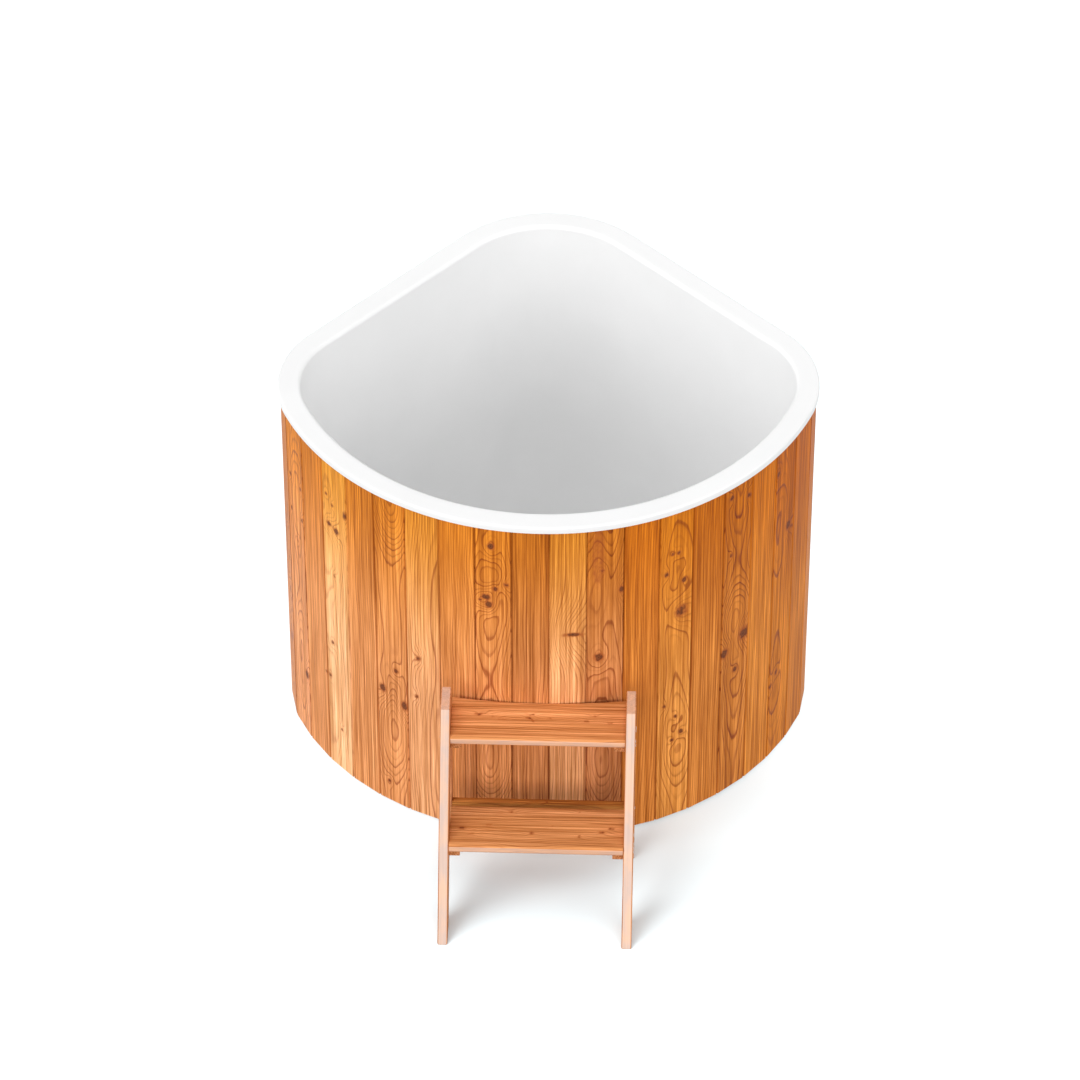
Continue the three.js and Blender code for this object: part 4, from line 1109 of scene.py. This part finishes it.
# %% [markdown]
# ## The drain and its valve
# Behind the rear corner a plastic pipe comes out low down and ends in a brass ball valve with a red
# lever. In the tub's floor lies a slotted strainer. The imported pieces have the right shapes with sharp
# edges. The pipe and the valve are copied and their edges are eased, because a cast or moulded edge
# catches a thin line of light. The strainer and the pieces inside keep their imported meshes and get
# finishes.

# %% Drain pieces
def mottled(name, fixed, first, second, scale, rough, stretch=(1, 1, 1), dent=0.0):
    """A finish whose colour and gloss drift between two states in soft patches."""
    finish, tree, shader = new_finish(name, fixed)
    place = add(tree, "TexCoord", {}).outputs["Object"]
    place = add(tree, "Mapping", {"Vector": place, "Scale": stretch}).outputs["Vector"]
    patch = add(tree, "TexNoise", {"Vector": place, "Scale": scale, "Detail": 4.0}).outputs["Fac"]
    colour = ramp(tree, patch, [(0.32, first), (0.68, second)])
    wire(tree, shader, {"Base Color": colour, "Roughness": spread(tree, patch, *rough)})
    if dent:
        bump(tree, shader, patch, strength=0.3, depth=dent)
    return finish


plastic = mottled("drain_plastic", {}, (0.74, 0.74, 0.72), (0.80, 0.80, 0.79), 60.0, (0.32, 0.45))
brass = mottled("valve_brass", {"Metallic": 1.0}, (0.62, 0.44, 0.17), (0.78, 0.58, 0.27), 90.0,
                (0.24, 0.42))
lever_red = mottled("lever_red", {"Coat Weight": 0.3}, (0.42, 0.012, 0.012), (0.52, 0.022, 0.02),
                    70.0, (0.3, 0.45))
rubber = mottled("gasket_rubber", {}, (0.016, 0.016, 0.017), (0.035, 0.035, 0.036), 200.0, (0.6, 0.8))
EASED_SMOOTH_BELOW = math.radians(32)
EASED = {
    "drain_pipe": (plastic, "drain_plastic", "tub", 0.0005),
    "valve_body": (brass, "valve_brass", "tub", 0.0009),
    "valve_end_cap": (brass, "valve_brass", "tub", 0.0009),
    "valve_stem": (steel, "valve_steel", "valve_turning", 0.0006),
    "valve_lever": (lever_red, "lever_red", "valve_turning", 0.0011),
}
for node, (finish, slot, body, width) in EASED.items():
    piece = copy_of(node, node + "_eased")
    ease_edges(piece, width)
    only(piece)
    bpy.ops.object.shade_smooth_by_angle(angle=EASED_SMOOTH_BELOW)
    piece.data.materials.append(finish)
    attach(piece, body)
    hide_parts(node)
print("eased pieces:", len(EASED))

# %% [markdown]
# ## What is inside
# Under and behind the boards are ribs and a floor of plywood, bearers of green treated softwood and a
# pad of foam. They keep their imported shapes. Plywood shows its layers on every cut edge, so its colour
# runs in thin bands with height. Bearers have long fibres along their length, and foam is speckled.

# %% Finishes of the inner pieces
def plywood():
    finish, tree, shader = new_finish("plywood", {"Specular IOR Level": 0.3})
    place = add(tree, "TexCoord", {}).outputs["Object"]
    bands = {"Vector": place, "Scale": 105.0, "Distortion": 0.3}
    layer = add(tree, "TexWave", bands, bands_direction="Z").outputs["Fac"]
    fibre = add(tree, "Mapping", {"Vector": place, "Scale": (2, 40, 1)}).outputs["Vector"]
    fibre = add(tree, "TexNoise", {"Vector": fibre, "Scale": 12.0, "Detail": 4.0}).outputs["Fac"]
    face = ramp(tree, fibre, [(0.3, (0.52, 0.36, 0.19)), (0.7, (0.66, 0.49, 0.28))])
    colour = mixed(tree, spread(tree, layer, 0.0, 0.35), face, (0.28, 0.17, 0.08, 1))
    wire(tree, shader, {"Base Color": colour, "Roughness": spread(tree, fibre, 0.6, 0.8)})
    return finish


ply = plywood()
treated = mottled("treated_bearer", {}, (0.26, 0.25, 0.12), (0.40, 0.37, 0.20), 30.0, (0.7, 0.9),
                  stretch=(0.1, 1, 1), dent=0.001)
foam = mottled("closed_cell_foam", {}, (0.62, 0.68, 0.72), (0.74, 0.79, 0.82), 240.0, (0.8, 0.95),
               dent=0.001)
INSIDE = {
    ply: ["lower_rib", "upper_rib", "top_rib", "floor_panel"],
    treated: ["bearer_front", "bearer_middle", "bearer_rear_left", "bearer_rear_right"],
    foam: ["floor_foam"],
    plastic: ["drain_strainer", "drain_body"],
    rubber: ["drain_gasket"],
    steel: ["valve_ball"],
}
for finish, names in INSIDE.items():
    for node in names:
        for slot in nodes[node].material_slots:
            slot.material = finish
print("inner pieces:", sum(len(names) for names in INSIDE.values()))

# %% [markdown]
# ## The size
# Dressing a model shouldn't change its size. So the box of everything seen and the box of the
# imported model are printed one after the other.

# %% Sizes
low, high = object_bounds()
for name, box in (("size:", high - low), ("packed:", cad_high - cad_low)):
    print(name, [round(v, 4) for v in box])
